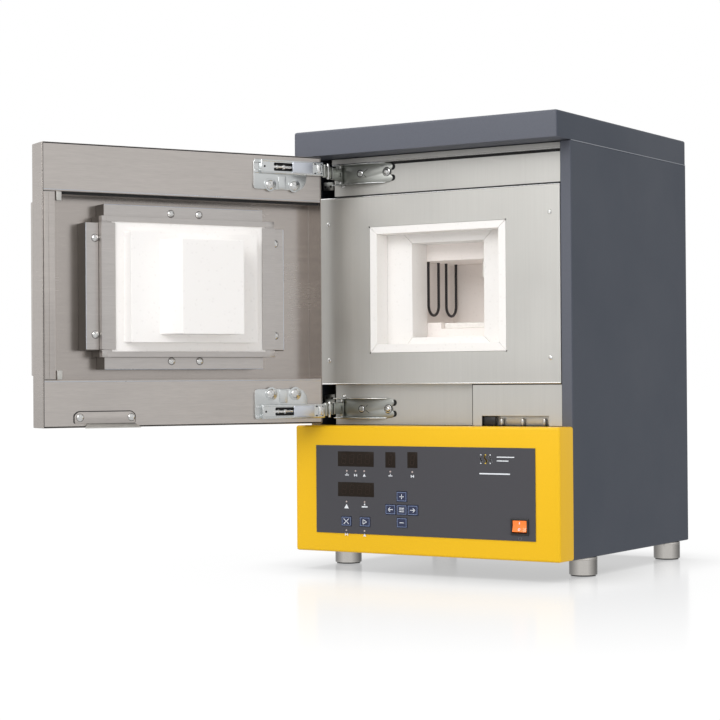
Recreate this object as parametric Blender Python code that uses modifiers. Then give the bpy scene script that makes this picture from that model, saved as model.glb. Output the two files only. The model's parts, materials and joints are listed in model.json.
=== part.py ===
"""Bench-top front-loading sintering furnace with an open door, modelled in its parts.

Built in the cabinet's own millimetre frame: +X to the right, +Y into the cabinet, +Z up,
X = 0 at the cabinet's middle, Y = 0 at its front face, Z = 0 at the floor.  The door and the
hinge links are modelled shut, on empties that stand on their joint axes and are turned open.
"""
import math

import bmesh
import bpy
from mathutils import Matrix, Vector

MM = 0.001

# Driving dimensions, in millimetres
CABINET_WIDTH = 380.0
CABINET_DEPTH = 346.0        # from the front face to the back
CABINET_HEIGHT = 563.0
CONSOLE_OVERHANG = 36.0      # how far the console and the lid stand in front of the front face
CONSOLE_TOP = 184.5
LID_BOTTOM = 530.5
SHEET = 1.5                  # sheet steel thickness
GAP = 0.3                    # clearance between neighbouring pieces
FOOT_RADIUS = 17.5
FOOT_HEIGHT = 23.5
FOOT_X = 172.5
FOOT_Y = (60.5, 313.0)

MOUTH_MIDDLE = 1.3
MOUTH_HALF_WIDTH = 99.0      # opening in the front panel
MOUTH_Z = (277.0, 438.5)
RING_INNER_HALF_WIDTH = 88.5
RING_INNER_Z = (288.0, 429.0)
THROAT_START = 26.0          # depth of the step behind the mouth
THROAT_MIDDLE = 2.5          # the throat and the chamber stand a little right of the cabinet's middle
THROAT_HALF_WIDTH = 52.5
THROAT_Z = (296.5, 417.0)
CHAMBER_Y = (64.0, 159.0)
CHAMBER_HALF_WIDTH = 67.0
CHAMBER_FLOOR = 308.0
CHAMBER_ROOF = 396.0
BOARD_HALF_WIDTH = 110.0     # outside of the fibre boards
BOARD_Z = (262.0, 452.0)
BOARD_BACK = 196.0

DOOR_WIDTH = 376.0
DOOR_Z = (187.5, 527.5)
DOOR_THICKNESS = 34.0
DOOR_RIM_Y = -2.5            # inner rim of the shut door
DOOR_PIVOT = (-177.8, -34.6)
DOOR_OPEN = 117.5            # degrees from shut
DOOR_RAIL_INNER_Z = (244.5, 469.5)
PLUG_X = (-117.0, 111.0)     # base of the door's insulation
HINGE_MIDDLE_Z = (509.0, 206.0)
LINK_PIVOT = (-149.0, 10.5)
LINK_LENGTH = 53.0
LINK_OPEN = 79.9

CONSOLE_FACE = -CONSOLE_OVERHANG
PLATE_FACE = CONSOLE_FACE - GAP - 0.8
PLATE_X = (-157.5, 158.0)
PLATE_Z = (48.0, 159.5)
KEYS = {                     # left, right, bottom, top
    "key_tools": (-119.0, -104.0, 57.5, 69.5),
    "key_start": (-91.5, -76.0, 57.5, 69.5),
    "key_plus": (-36.5, -21.5, 90.5, 103.0),
    "key_left": (-53.0, -38.0, 74.0, 86.5),
    "key_program": (-36.5, -21.5, 74.0, 86.5),
    "key_right": (-20.5, -5.5, 74.0, 86.5),
    "key_minus": (-36.5, -21.5, 58.0, 70.5),
}
ROCKER_CENTRE = (137.0, -33.0, 65.0)
ROCKER_TILT = 7.0            # degrees either side of the middle

COLOURS = {                  # linear colour, roughness, metallic
    "slate_paint": ((0.115, 0.12, 0.145), 0.5, 0.0),
    "side_paint": ((0.085, 0.095, 0.11), 0.5, 0.0),
    "yellow_paint": ((0.93, 0.56, 0.03), 0.35, 0.0),
    "stainless": ((0.55, 0.53, 0.50), 0.35, 1.0),
    "warm_stainless": ((0.47, 0.43, 0.39), 0.35, 1.0),
    "zinc": ((0.60, 0.62, 0.62), 0.3, 1.0),
    "fibre": ((0.92, 0.90, 0.87), 0.95, 0.0),
    "fired_fibre": ((0.60, 0.50, 0.44), 0.95, 0.0),
    "foil": ((0.095, 0.095, 0.105), 0.45, 0.0),
    "key_blue": ((0.03, 0.045, 0.12), 0.4, 0.0),
    "black_plastic": ((0.02, 0.02, 0.022), 0.4, 0.0),
    "orange_plastic": ((0.85, 0.19, 0.03), 0.3, 0.0),
    "element": ((0.05, 0.045, 0.045), 0.5, 0.2),
    "ceramic": ((0.85, 0.82, 0.76), 0.5, 0.0),
    "circuit_board": ((0.03, 0.15, 0.06), 0.5, 0.0),
    "core_steel": ((0.12, 0.12, 0.13), 0.6, 0.6),
}

for old in list(bpy.data.objects):
    bpy.data.objects.remove(old, do_unlink=True)

furnace = bpy.data.collections.new("sintering_furnace")
cutters = bpy.data.collections.new("cutters")
bpy.context.scene.collection.children.link(furnace)
bpy.context.scene.collection.children.link(cutters)


def finish_of(name):
    """The named material, made on its first use."""
    if name in bpy.data.materials:
        return bpy.data.materials[name]
    colour, roughness, metallic = COLOURS[name]
    material = bpy.data.materials.new(name)
    material.use_nodes = True
    shader = material.node_tree.nodes["Principled BSDF"]
    shader.inputs["Base Color"].default_value = (*colour, 1.0)
    shader.inputs["Roughness"].default_value = roughness
    shader.inputs["Metallic"].default_value = metallic
    return material


def empty(name, x, y, z=0.0, turn=0.0, axis=2, parent=None):
    """A joint's empty at a place in the cabinet frame, turned about one axis."""
    holder = bpy.data.objects.new(name, None)
    furnace.objects.link(holder)
    holder.location = Vector((x, y, z)) * MM
    holder.rotation_euler[axis] = math.radians(turn)
    holder.parent = parent
    holder["home"] = (x, y, z)
    return holder


def place(piece, holder, finish):
    """Link a piece that is modelled in the cabinet frame under its empty."""
    furnace.objects.link(piece)
    piece.data.materials.append(finish_of(finish))
    piece.parent = holder
    piece.location = -Vector(holder["home"]) * MM
    return piece


def box_mesh(name, low, high):
    shape = bmesh.new()
    bmesh.ops.create_cube(shape, size=1.0)
    size = [(b - a) * MM for a, b in zip(low, high)]
    middle = [(a + b) / 2 * MM for a, b in zip(low, high)]
    bmesh.ops.scale(shape, vec=size, verts=shape.verts)
    bmesh.ops.translate(shape, vec=middle, verts=shape.verts)
    mesh = bpy.data.meshes.new(name)
    shape.to_mesh(mesh)
    shape.free()
    return mesh


def box(name, low, high, holder, finish, round_edge=0.0, segments=2):
    piece = place(bpy.data.objects.new(name, box_mesh(name, low, high)), holder, finish)
    if round_edge:
        soften(piece, round_edge, segments)
    return piece


def soften(piece, width, segments=2):
    bevel = piece.modifiers.new("rounded edges", "BEVEL")
    bevel.width = width * MM
    bevel.segments = segments
    bevel.limit_method = "ANGLE"


def hide_cutter(tool, like):
    """A cutter shares its target's empty, so it is modelled in the same frame."""
    cutters.objects.link(tool)
    tool.parent = like.parent
    tool.location = like.location
    tool.hide_render = True
    tool.display_type = "WIRE"
    return tool


def boolean(piece, tool, operation):
    step = piece.modifiers.new(tool.name, "BOOLEAN")
    step.object = tool
    step.operation = operation
    step.solver = "EXACT"


def cut_box(piece, low, high, label="opening"):
    tool = bpy.data.objects.new(piece.name + "_" + label, box_mesh(label, low, high))
    boolean(piece, hide_cutter(tool, piece), "DIFFERENCE")


def add_box(piece, low, high, label="lug"):
    tool = bpy.data.objects.new(piece.name + "_" + label, box_mesh(label, low, high))
    boolean(piece, hide_cutter(tool, piece), "UNION")


def rod_mesh(name, centre, radius, low, high, sides=24, axis="Z"):
    shape = bmesh.new()
    bmesh.ops.create_cone(shape, cap_ends=True, segments=sides, radius1=radius * MM, radius2=radius * MM,
                          depth=(high - low) * MM)
    bmesh.ops.translate(shape, vec=(0, 0, (low + high) / 2 * MM), verts=shape.verts)
    if axis == "Y":          # a rod along Y: its centre is given as (x, z)
        bmesh.ops.rotate(shape, matrix=Matrix.Rotation(-math.pi / 2, 3, "X"), verts=shape.verts)
        bmesh.ops.translate(shape, vec=(centre[0] * MM, 0, centre[1] * MM), verts=shape.verts)
    else:
        bmesh.ops.translate(shape, vec=(centre[0] * MM, centre[1] * MM, 0), verts=shape.verts)
    mesh = bpy.data.meshes.new(name)
    shape.to_mesh(mesh)
    shape.free()
    return mesh


def cut_rod(piece, centre, radius, low, high, label="hole", sides=16, axis="Z"):
    tool = bpy.data.objects.new(piece.name + "_" + label, rod_mesh(label, centre, radius, low, high, sides, axis))
    boolean(piece, hide_cutter(tool, piece), "DIFFERENCE")


def add_rod(piece, centre, radius, low, high, label="pin", sides=16, axis="Z"):
    tool = bpy.data.objects.new(piece.name + "_" + label, rod_mesh(label, centre, radius, low, high, sides, axis))
    boolean(piece, hide_cutter(tool, piece), "UNION")


def outline_mesh(name, points, along, low, high):
    """A closed outline pulled straight along one axis.

    Its points are (y, z) along X, (x, z) along Y, and (x, y) along Z.
    """
    curve = bpy.data.curves.new(name, "CURVE")
    curve.dimensions = "2D"
    curve.fill_mode = "BOTH"
    curve.extrude = (high - low) / 2 * MM
    spline = curve.splines.new("POLY")
    spline.points.add(len(points) - 1)
    for point, (a, b) in zip(spline.points, points):
        point.co = (a * MM, b * MM, 0, 1)
    spline.use_cyclic_u = True
    holder = bpy.data.objects.new(name, curve)
    bpy.context.scene.collection.objects.link(holder)
    bpy.context.view_layer.update()
    mesh = bpy.data.meshes.new_from_object(holder.evaluated_get(bpy.context.evaluated_depsgraph_get()))
    bpy.data.objects.remove(holder)
    bpy.data.curves.remove(curve)
    turns = {
        "X": Matrix(((0, 0, 1), (1, 0, 0), (0, 1, 0))),
        "Y": Matrix(((1, 0, 0), (0, 0, -1), (0, 1, 0))),
        "Z": Matrix.Identity(3),
    }
    shifts = {"X": (1, 0, 0), "Y": (0, 1, 0), "Z": (0, 0, 1)}
    shape = bmesh.new()
    shape.from_mesh(mesh)
    bmesh.ops.remove_doubles(shape, verts=shape.verts, dist=0.00001)
    bmesh.ops.transform(shape, matrix=turns[along].to_4x4(), verts=shape.verts)
    bmesh.ops.translate(shape, vec=Vector(shifts[along]) * ((low + high) / 2 * MM), verts=shape.verts)
    bmesh.ops.recalc_face_normals(shape, faces=shape.faces)
    shape.to_mesh(mesh)
    shape.free()
    return mesh


def outline(name, points, along, low, high, holder, finish, round_edge=0.0):
    piece = place(bpy.data.objects.new(name, outline_mesh(name, points, along, low, high)), holder, finish)
    if round_edge:
        soften(piece, round_edge)
    return piece


def turned(name, profile, centre, holder, finish, steps=32):
    """A profile of (radius, height) points, top to bottom, spun about an upright axis."""
    shape = bmesh.new()
    verts = [shape.verts.new((radius * MM, 0, height * MM)) for radius, height in profile]
    for a, b in zip(verts, verts[1:]):
        shape.edges.new((a, b))
    mesh = bpy.data.meshes.new(name)
    shape.to_mesh(mesh)
    shape.free()
    piece = place(bpy.data.objects.new(name, mesh), holder, finish)
    piece.location += Vector((centre[0], centre[1], 0)) * MM
    screw = piece.modifiers.new("spin", "SCREW")
    screw.steps = steps
    screw.render_steps = steps
    screw.use_merge_vertices = True
    screw.merge_threshold = 0.00001
    screw.use_smooth_shade = False
    return piece


# ---------------------------------------------------------------- cabinet

cabinet = empty("cabinet_frame", 0, 0)
half = CABINET_WIDTH / 2
inside = half - SHEET


def make_covers():
    low = FOOT_HEIGHT + GAP
    high = LID_BOTTOM - GAP
    lid = box("top_cover", (-half, -CONSOLE_OVERHANG, LID_BOTTOM), (half, CABINET_DEPTH, CABINET_HEIGHT),
              cabinet, "slate_paint", round_edge=2.0)
    lid_top = CABINET_HEIGHT - SHEET
    cut_box(lid, (-inside, SHEET - CONSOLE_OVERHANG, LID_BOTTOM + SHEET),
            (inside, CABINET_DEPTH - SHEET, lid_top), "hollow")
    cut_box(lid, (-inside, 16, LID_BOTTOM - 2), (inside, CABINET_DEPTH - SHEET, lid_top - 5), "underside")

    flange = 175.0
    for side, name in ((-1, "left_side_panel"), (1, "right_side_panel")):
        edges = sorted((side * flange, side * half))
        panel = box(name, (edges[0], 0, low), (edges[1], CABINET_DEPTH, high), cabinet, "side_paint", 1.2, 1)
        hollow = sorted((side * (flange - 1), side * inside))
        cut_box(panel, (hollow[0], SHEET, low - 1), (hollow[1], CABINET_DEPTH - SHEET, high + 1), "channel")
        if side < 0:
            for middle, up, where in zip(HINGE_MIDDLE_Z, (1, -1), ("upper", "lower")):
                ends = sorted((middle - up * 8, middle + up * 13))
                cut_box(panel, (-half + 2.5, -1, ends[0]), (-flange + 1, 8, ends[1]), f"{where}_arm_notch")

    back = box("back_panel", (-188.2, 342.6, low + SHEET + 1), (188.2, 344.1, high), cabinet, "side_paint")
    for column, x in enumerate((-100, 30)):
        for row in range(7):
            z = 410 + row * 14
            cut_box(back, (x, 340, z), (x + 70, 346, z + 3.5), f"vent_{column}_{row}")
    cut_box(back, (-132.5, 340, 59.5), (-95.5, 346, 86.5), "inlet_hole")

    box("base_plate", (-188.2, 2, low), (188.2, 342.3, low + 2), cabinet, "stainless")

    for y, where in zip(FOOT_Y, ("front", "back")):
        for x, side in ((-FOOT_X, "left"), (FOOT_X, "right")):
            r = FOOT_RADIUS
            profile = [(0, FOOT_HEIGHT), (r - 0.8, FOOT_HEIGHT), (r, FOOT_HEIGHT - 0.8), (r, 1.2), (r - 1.2, 0), (0, 0)]
            turned(f"foot_{where}_{side}", profile, (x, y), cabinet, "stainless")


def make_front():
    rail_left = -161.0
    rail_right = 175 - GAP
    face = 15.0              # the rails lie this far behind the front panel's face
    section = [(face, 475), (face, 522.6), (9, 522.6), (9, 529.9), (10.2, 529.9), (10.2, 523.8),
               (face + SHEET, 523.8), (face + SHEET, 475)]
    outline("upper_front_rail", section, "X", rail_left, rail_right, cabinet, "stainless")

    seam = 51.0
    box("lower_front_rail", (rail_left, face, CONSOLE_TOP + GAP), (seam - 0.2, face + SHEET, 240), cabinet, "stainless")

    plate = box("latch_plate", (seam + 0.2, 2, CONSOLE_TOP + GAP), (rail_right, face - GAP, 236.5), cabinet, "stainless")
    cut_box(plate, (seam + 0.2 + SHEET, 2 + SHEET, 180), (rail_right - SHEET, face + 1, 240), "channel")
    cut_box(plate, (64, 0, 180), (157, 5, 197), "latch_slot")

    panel = box("front_panel", (-175 + GAP, 0, 236.8), (rail_right, face - GAP, 478.7), cabinet, "stainless", 0.8, 2)
    cut_box(panel, (-175 + GAP + 1.2, 1.2, 238), (rail_right - 1.2, face + 1, 477.5), "hollow")
    mouth_x = (MOUTH_MIDDLE - MOUTH_HALF_WIDTH, MOUTH_MIDDLE + MOUTH_HALF_WIDTH)
    cut_box(panel, (mouth_x[0], -2, MOUTH_Z[0]), (mouth_x[1], 4, MOUTH_Z[1]), "mouth")
    for x in mouth_x:
        for z in MOUTH_Z:
            cut_rod(panel, (x, z), 1.1, -1, 3, f"corner_relief_{x:.0f}_{z:.0f}", sides=12, axis="Y")

    shell = box("console_shell", (-half, CONSOLE_FACE, FOOT_HEIGHT + GAP), (half, -GAP, CONSOLE_TOP),
                cabinet, "yellow_paint", 3.0, 3)
    cut_box(shell, (-inside, CONSOLE_FACE + SHEET, FOOT_HEIGHT + GAP + SHEET), (inside, 2, CONSOLE_TOP - SHEET), "hollow")
    cut_box(shell, (-150, -40, 52), (0, -30, 156), "board_window")
    cut_box(shell, (125.5, -40, 56), (148.5, -30, 74), "switch_hole")


def make_console():
    plate = box("control_plate", (PLATE_X[0], PLATE_FACE, PLATE_Z[0]),
                (PLATE_X[1], PLATE_FACE + 0.8, PLATE_Z[1]), cabinet, "foil")
    for name, (left, right, bottom, top) in KEYS.items():
        cut_box(plate, (left - GAP, -40, bottom - GAP), (right + GAP, -30, top + GAP), name + "_hole")
        box(name, (left, PLATE_FACE - 0.6, bottom), (right, PLATE_FACE + 2.4, top), cabinet, "key_blue", 0.3, 1)
    cut_box(plate, (125.5, -40, 56), (148.5, -30, 74), "switch_hole")

    box("controller_board", (-150, -24, 50), (20, -22.4, 158), cabinet, "circuit_board")

    x, y, z = ROCKER_CENTRE
    bezel = box("switch_bezel", (x - 12.2, PLATE_FACE - 1.7, z - 9.9), (x + 12.2, PLATE_FACE - GAP, z + 9.9),
                cabinet, "black_plastic", 0.5, 1)
    add_box(bezel, (x - 11, PLATE_FACE - 1.0, z - 8.6), (x + 11, -14, z + 8.6), "body")
    cut_box(bezel, (x - 9.9, PLATE_FACE - 4, z - 7.9), (x + 9.9, -24, z + 7.9), "pocket")

    axis = empty("rocker_axis", x, y, z, turn=-ROCKER_TILT, axis=0, parent=cabinet)
    rocker = [(y - 6.6, z - 6.9), (y - 5.4, z), (y - 6.6, z + 6.9), (y + 4, z + 6.9), (y + 4, z - 6.9)]
    outline("power_rocker", rocker, "X", x - 9.5, x + 9.5, axis, "orange_plastic")


def make_services():
    core = box("transformer", (20, 200, 26.2), (140, 290, 118), cabinet, "core_steel", 2.0, 1)
    add_box(core, (42, 182, 44), (118, 308, 100), "coil")

    inlet = box("mains_inlet", (-138, 344.4, 54), (-90, 347, 92), cabinet, "black_plastic", 0.6, 1)
    add_box(inlet, (-132, 322, 60), (-96, 345, 86), "body")
    cut_box(inlet, (-127.5, 332, 64.5), (-100.5, 350, 81.5), "socket")


# ---------------------------------------------------------------- firing chamber

def mitred_bar(name, side, outer, inner, y_range):
    """One side of a rectangular ring; its ends are cut on the lines between the corners."""
    (ol, oh), (ob, ot) = outer
    (il, ih), (ib, it) = inner
    c = GAP / 2
    shapes = {
        "top": [(ol + c, ot), (oh - c, ot), (ih - c, it), (il + c, it)],
        "bottom": [(ol + c, ob), (oh - c, ob), (ih - c, ib), (il + c, ib)],
        "left": [(ol, ob + c), (ol, ot - c), (il, it - c), (il, ib + c)],
        "right": [(oh, ob + c), (oh, ot - c), (ih, it - c), (ih, ib + c)],
    }
    outline(f"{name}_{side}", shapes[side], "Y", *y_range, cabinet, "fibre")


def make_insulation():
    outer_half = MOUTH_HALF_WIDTH - GAP
    ring_outer = ((MOUTH_MIDDLE - outer_half, MOUTH_MIDDLE + outer_half), (MOUTH_Z[0] + GAP, MOUTH_Z[1] - GAP))
    ring_inner = ((MOUTH_MIDDLE - RING_INNER_HALF_WIDTH, MOUTH_MIDDLE + RING_INNER_HALF_WIDTH), RING_INNER_Z)
    for side in ("top", "bottom", "left", "right"):
        mitred_bar("mouth_bar", side, ring_outer, ring_inner, (0, THROAT_START - GAP))

    throat = box("throat_frame", (-BOARD_HALF_WIDTH, THROAT_START, BOARD_Z[0]),
                 (BOARD_HALF_WIDTH, CHAMBER_Y[0] - GAP, BOARD_Z[1]), cabinet, "fibre")
    cut_box(throat, (THROAT_MIDDLE - THROAT_HALF_WIDTH, 20, THROAT_Z[0]),
            (THROAT_MIDDLE + THROAT_HALF_WIDTH, 70, THROAT_Z[1]), "throat")

    front, rear = CHAMBER_Y
    wide = BOARD_HALF_WIDTH
    floor = box("chamber_floor", (-wide, front, BOARD_Z[0]), (wide, BOARD_BACK, CHAMBER_FLOOR), cabinet, "fibre")
    for side, name in ((-1, "left_ledge"), (1, "right_ledge")):
        ledge = sorted((THROAT_MIDDLE + side * 32, THROAT_MIDDLE + side * (CHAMBER_HALF_WIDTH - GAP)))
        add_box(floor, (ledge[0], front, CHAMBER_FLOOR - 2), (ledge[1], rear - 2, CHAMBER_FLOOR + 8), name)
    roof = box("chamber_roof", (-wide, front, CHAMBER_ROOF), (wide, BOARD_BACK, BOARD_Z[1]), cabinet, "fired_fibre")
    wall_z = (CHAMBER_FLOOR + GAP, CHAMBER_ROOF - GAP)
    left_wall, right_wall = THROAT_MIDDLE - CHAMBER_HALF_WIDTH, THROAT_MIDDLE + CHAMBER_HALF_WIDTH
    box("chamber_wall_left", (-wide, front, wall_z[0]), (left_wall, rear, wall_z[1]), cabinet, "fired_fibre")
    box("chamber_wall_right", (right_wall, front, wall_z[0]), (wide, rear, wall_z[1]), cabinet, "fired_fibre")
    box("chamber_wall_rear", (-wide, rear + GAP, wall_z[0]), (wide, BOARD_BACK, wall_z[1]), cabinet, "fired_fibre")
    box("hearth_plate", (THROAT_MIDDLE - 31.5, front + 8, CHAMBER_FLOOR + GAP),
        (THROAT_MIDDLE + 31.5, rear - 4, CHAMBER_FLOOR + 7.5), cabinet, "ceramic", 0.6, 1)

    make_elements(roof)
    probe_x, probe_y = THROAT_MIDDLE + 27.6, 74.0
    cut_rod(roof, (probe_x, probe_y), 3.4, 390, 460, "probe_hole")
    turned("thermocouple", [(0, 478), (7, 478), (7, 456), (3, 454), (3, 374), (1.5, 372), (0, 372)],
           (probe_x, probe_y), cabinet, "ceramic", steps=16)

    casing = box("insulation_casing", (-140, 17.2, 242), (140, 228, 500), cabinet, "stainless")
    cut_box(casing, (-139, 10, 243), (139, 227, 499), "hollow")


def make_elements(roof):
    """Hairpin elements hang through the roof: thick leads above, a thin bend in the chamber."""
    bend = 13.0
    lowest = 326.5
    hot = 1.8
    lead = 2.2
    number = 0
    for x in (THROAT_MIDDLE - 60, THROAT_MIDDLE + 60):
        for middle in (92.5, 138.5):
            number += 1
            path = [(middle - bend, 470, lead), (middle - bend, 399, lead), (middle - bend, 394, hot),
                    (middle - bend, lowest + bend, hot)]
            for step in range(1, 8):
                angle = math.pi * step / 8
                path.append((middle - bend * math.cos(angle), lowest + bend - bend * math.sin(angle), hot))
            path += [(middle + bend, z, size) for _, z, size in reversed(path[:4])]
            curve = bpy.data.curves.new(f"heating_element_{number}", "CURVE")
            curve.dimensions = "3D"
            curve.bevel_depth = MM
            curve.bevel_resolution = 2
            curve.use_fill_caps = True
            spline = curve.splines.new("POLY")
            spline.points.add(len(path) - 1)
            for point, (y, z, size) in zip(spline.points, path):
                point.co = (x * MM, y * MM, z * MM, 1)
                point.radius = size
            place(bpy.data.objects.new(f"heating_element_{number}", curve), cabinet, "element")
            for y in (middle - bend, middle + bend):
                cut_rod(roof, (x, y), 2.8, 390, 460, f"lead_hole_{number}_{y:.0f}", sides=12)


# ---------------------------------------------------------------- door

door = empty("door_axis", *DOOR_PIVOT, turn=-DOOR_OPEN, parent=cabinet)
door_left = -DOOR_WIDTH / 2
door_right = DOOR_WIDTH / 2
door_face = DOOR_RIM_Y - DOOR_THICKNESS


def make_door_panels():
    shell = box("door_shell", (door_left, door_face, DOOR_Z[0]), (door_right, DOOR_RIM_Y, DOOR_Z[1]),
                door, "warm_stainless", 1.2, 2)
    cut_box(shell, (door_left + SHEET, door_face + SHEET, DOOR_Z[0] + SHEET),
            (door_right - SHEET, DOOR_RIM_Y + 2, DOOR_Z[1] - SHEET), "hollow")

    side = door_right - SHEET - GAP
    rim = DOOR_RIM_Y
    floor = door_face + SHEET + GAP
    bottom, top = DOOR_RAIL_INNER_Z
    strip = 172.0
    low = DOOR_Z[0] + SHEET + GAP
    high = DOOR_Z[1] - SHEET - GAP
    frame = box("door_inner_frame", (-side, floor, low), (side, rim, high), door, "warm_stainless")
    cut_box(frame, (-side - 1, floor - 1, bottom), (strip, rim + 1, top), "recess")
    cut_box(frame, (-side - 1, floor - 1, top + SHEET), (side + 1, rim - SHEET, high + 1), "upper_rail_hollow")
    cut_box(frame, (-side - 1, floor - 1, low - 1), (side + 1, rim - SHEET, bottom - SHEET), "lower_rail_hollow")
    cut_box(frame, (strip + SHEET, floor - 1, low - 1), (side + 1, rim - SHEET, high + 1), "strip_hollow")
    for z in (bottom + 11, top - 11):
        ends = sorted((z, bottom - 1 if z < 350 else top + 1))
        add_box(frame, (strip - 6, rim - 6, ends[0]), (strip - 2, rim - 1, ends[1]), f"tab_{z:.0f}")

    grip = [(door_face - GAP, 250), (door_face - 24, 250), (door_face - 24, 460), (door_face - GAP, 460),
            (door_face - GAP, 448), (door_face - 16, 448), (door_face - 16, 262), (door_face - GAP, 262)]
    outline("door_handle", grip, "X", 169, 181, door, "warm_stainless", round_edge=1.0)


def make_door_insulation():
    seat = -10.8             # the tray's rim, where the brackets are screwed down
    floor = door_face + SHEET + GAP
    # the tray is a block with an arm on each side, and each arm carries a bracket
    arms = (((PLUG_X[0] - 2, 272.2), (PLUG_X[1] + 2, 441.8)), ((PLUG_X[0] - 19.5, 280), (PLUG_X[1] + 19.5, 434)),
            ((-107, 257), (107, 457)))
    (x, z), (x_end, z_end) = arms[0]
    tray = box("insulation_tray", (x, floor, z), (x_end, seat, z_end), door, "warm_stainless")
    for (x, z), (x_end, z_end) in arms[1:]:
        add_box(tray, (x, floor, z), (x_end, seat, z_end), f"arm_{z}")
    for (x, z), (x_end, z_end) in arms:
        cut_box(tray, (x + 1, floor + 1, z + 1), (x_end - 1, seat - 1, z_end - 1), f"hollow_{z}")
    cut_box(tray, (PLUG_X[0] - 0.5, seat - 3, 273.5), (PLUG_X[1] + 0.5, 0, 440.5), "mouth")

    plug = box("door_insulation", (PLUG_X[0], -33.2, 274), (PLUG_X[1], -1.8, 440), door, "fibre")
    add_box(plug, (-85.5, -10, 289.5), (84, 18.5, 423.5), "first_step")
    plan = [(-49, 10), (46, 10), (46, 18.5), (33, 55.5), (-49, 55.5)]
    step = bpy.data.objects.new("door_insulation_second_step", outline_mesh("second_step", plan, "Z", 299, 413.5))
    boolean(plug, hide_cutter(step, plug), "UNION")

    flat = seat + GAP
    lip = DOOR_RIM_Y + 1.1
    thick = 1.0
    z_clip = [(130.5, flat), (112.8, flat), (112.8, lip), (96, lip), (96, lip + thick), (113.8, lip + thick),
              (113.8, flat + thick), (130.5, flat + thick)]
    outline("plug_bracket_free_side", z_clip, "Z", 281, 434, door, "warm_stainless")
    outline("plug_bracket_hinge_side", [(-x - 6, y) for x, y in z_clip], "Z", 281, 434, door, "warm_stainless")
    for middle, side, name in ((357, 1, "plug_bracket_top"), (357, -1, "plug_bracket_bottom")):
        reach = [(456.5, flat), (441, flat), (441, lip), (435.4, lip), (435.4, lip + thick), (442, lip + thick),
                 (442, flat + thick), (456.5, flat + thick)]
        points = [(y, middle + side * (z - middle)) for z, y in reach]
        outline(name, points, "X", -107, 107, door, "warm_stainless")


def make_door_fittings():
    rim = DOOR_RIM_Y
    tongue = [(rim + GAP, 205.5), (rim + GAP + 1.2, 205.5), (rim + GAP + 1.2, 194.5), (6, 191.5), (6, 190.2),
              (rim + GAP, 193)]
    plate = outline("latch_tongue", tongue, "X", 66, 149, door, "zinc")
    cut_box(plate, (138, rim + 2, 180), (151, 10, 193.5), "end_relief")

    for middle, side, name in ((HINGE_MIDDLE_Z[0], 1, "upper"), (HINGE_MIDDLE_Z[1], -1, "lower")):
        shift = 2.5 * side
        ends = sorted((middle + side * 12, middle - side * 26))
        arm = box(f"hinge_arm_{name}", (-163, rim + GAP, ends[0]), (-90, rim + 2.8, ends[1]), door, "zinc", 0.8, 1)
        add_box(arm, (-185, rim + 1.4, middle + shift - 9), (-100, rim + 9, middle + shift + 9), "arm")
        cut_box(arm, (-136, rim + 4, middle + shift - 3.5), (-118, rim + 12, middle + shift + 3.5), "screw_slot")


# ---------------------------------------------------------------- hinge brackets and links

def make_hinges():
    links = empty("hinge_link_axis", *LINK_PIVOT, turn=-LINK_OPEN, parent=cabinet)
    x, y = LINK_PIVOT
    for middle, name in zip(HINGE_MIDDLE_Z, ("upper", "lower")):
        low, high = middle - 13, middle + 13
        channel = [(4.5, low), (14.7, low), (14.7, high), (4.5, high), (4.5, high - 1.2), (13.6, high - 1.2),
                   (13.6, low + 1.2), (4.5, low + 1.2)]
        bracket = outline(f"hinge_bracket_{name}", channel, "X", -158, -72, cabinet, "zinc")
        cut_box(bracket, (-81, 0, low - 1), (-70, 13.4, high + 1), "lip_end")
        cut_rod(bracket, (-72, middle), 4.5, 10, 20, "end_notch", axis="Y")
        add_rod(bracket, LINK_PIVOT, 1.5, low + 0.6, high - 0.6, "pin")

        link = box(f"hinge_link_{name}", (x, y - 2.5, middle - 7), (x + LINK_LENGTH, y + 2.5, middle + 9), links, "zinc",
                   0.6, 1)
        add_rod(link, LINK_PIVOT, 3.0, middle - 9, middle + 10.5, "eye")
        cut_rod(link, LINK_PIVOT, 1.8, middle - 12, middle + 12, "bore")


make_covers()
make_front()
make_console()
make_services()
make_insulation()
make_door_panels()
make_door_insulation()
make_door_fittings()
make_hinges()


def centre_on_floor():
    """Move the cabinet's empty so that the whole model's box stands centred on the origin."""
    bpy.context.view_layer.update()
    graph = bpy.context.evaluated_depsgraph_get()
    corners = []
    for piece in furnace.objects:
        if piece.type == "EMPTY":
            continue
        mesh = piece.evaluated_get(graph).to_mesh()
        corners += [piece.matrix_world @ vert.co for vert in mesh.vertices]
    low = [min(point[i] for point in corners) for i in range(3)]
    high = [max(point[i] for point in corners) for i in range(3)]
    cabinet.location = (-(low[0] + high[0]) / 2, -(low[1] + high[1]) / 2, -low[2])


centre_on_floor()
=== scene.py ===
import json
import math

import bmesh
import bpy
from mathutils import Matrix, Vector


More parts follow.
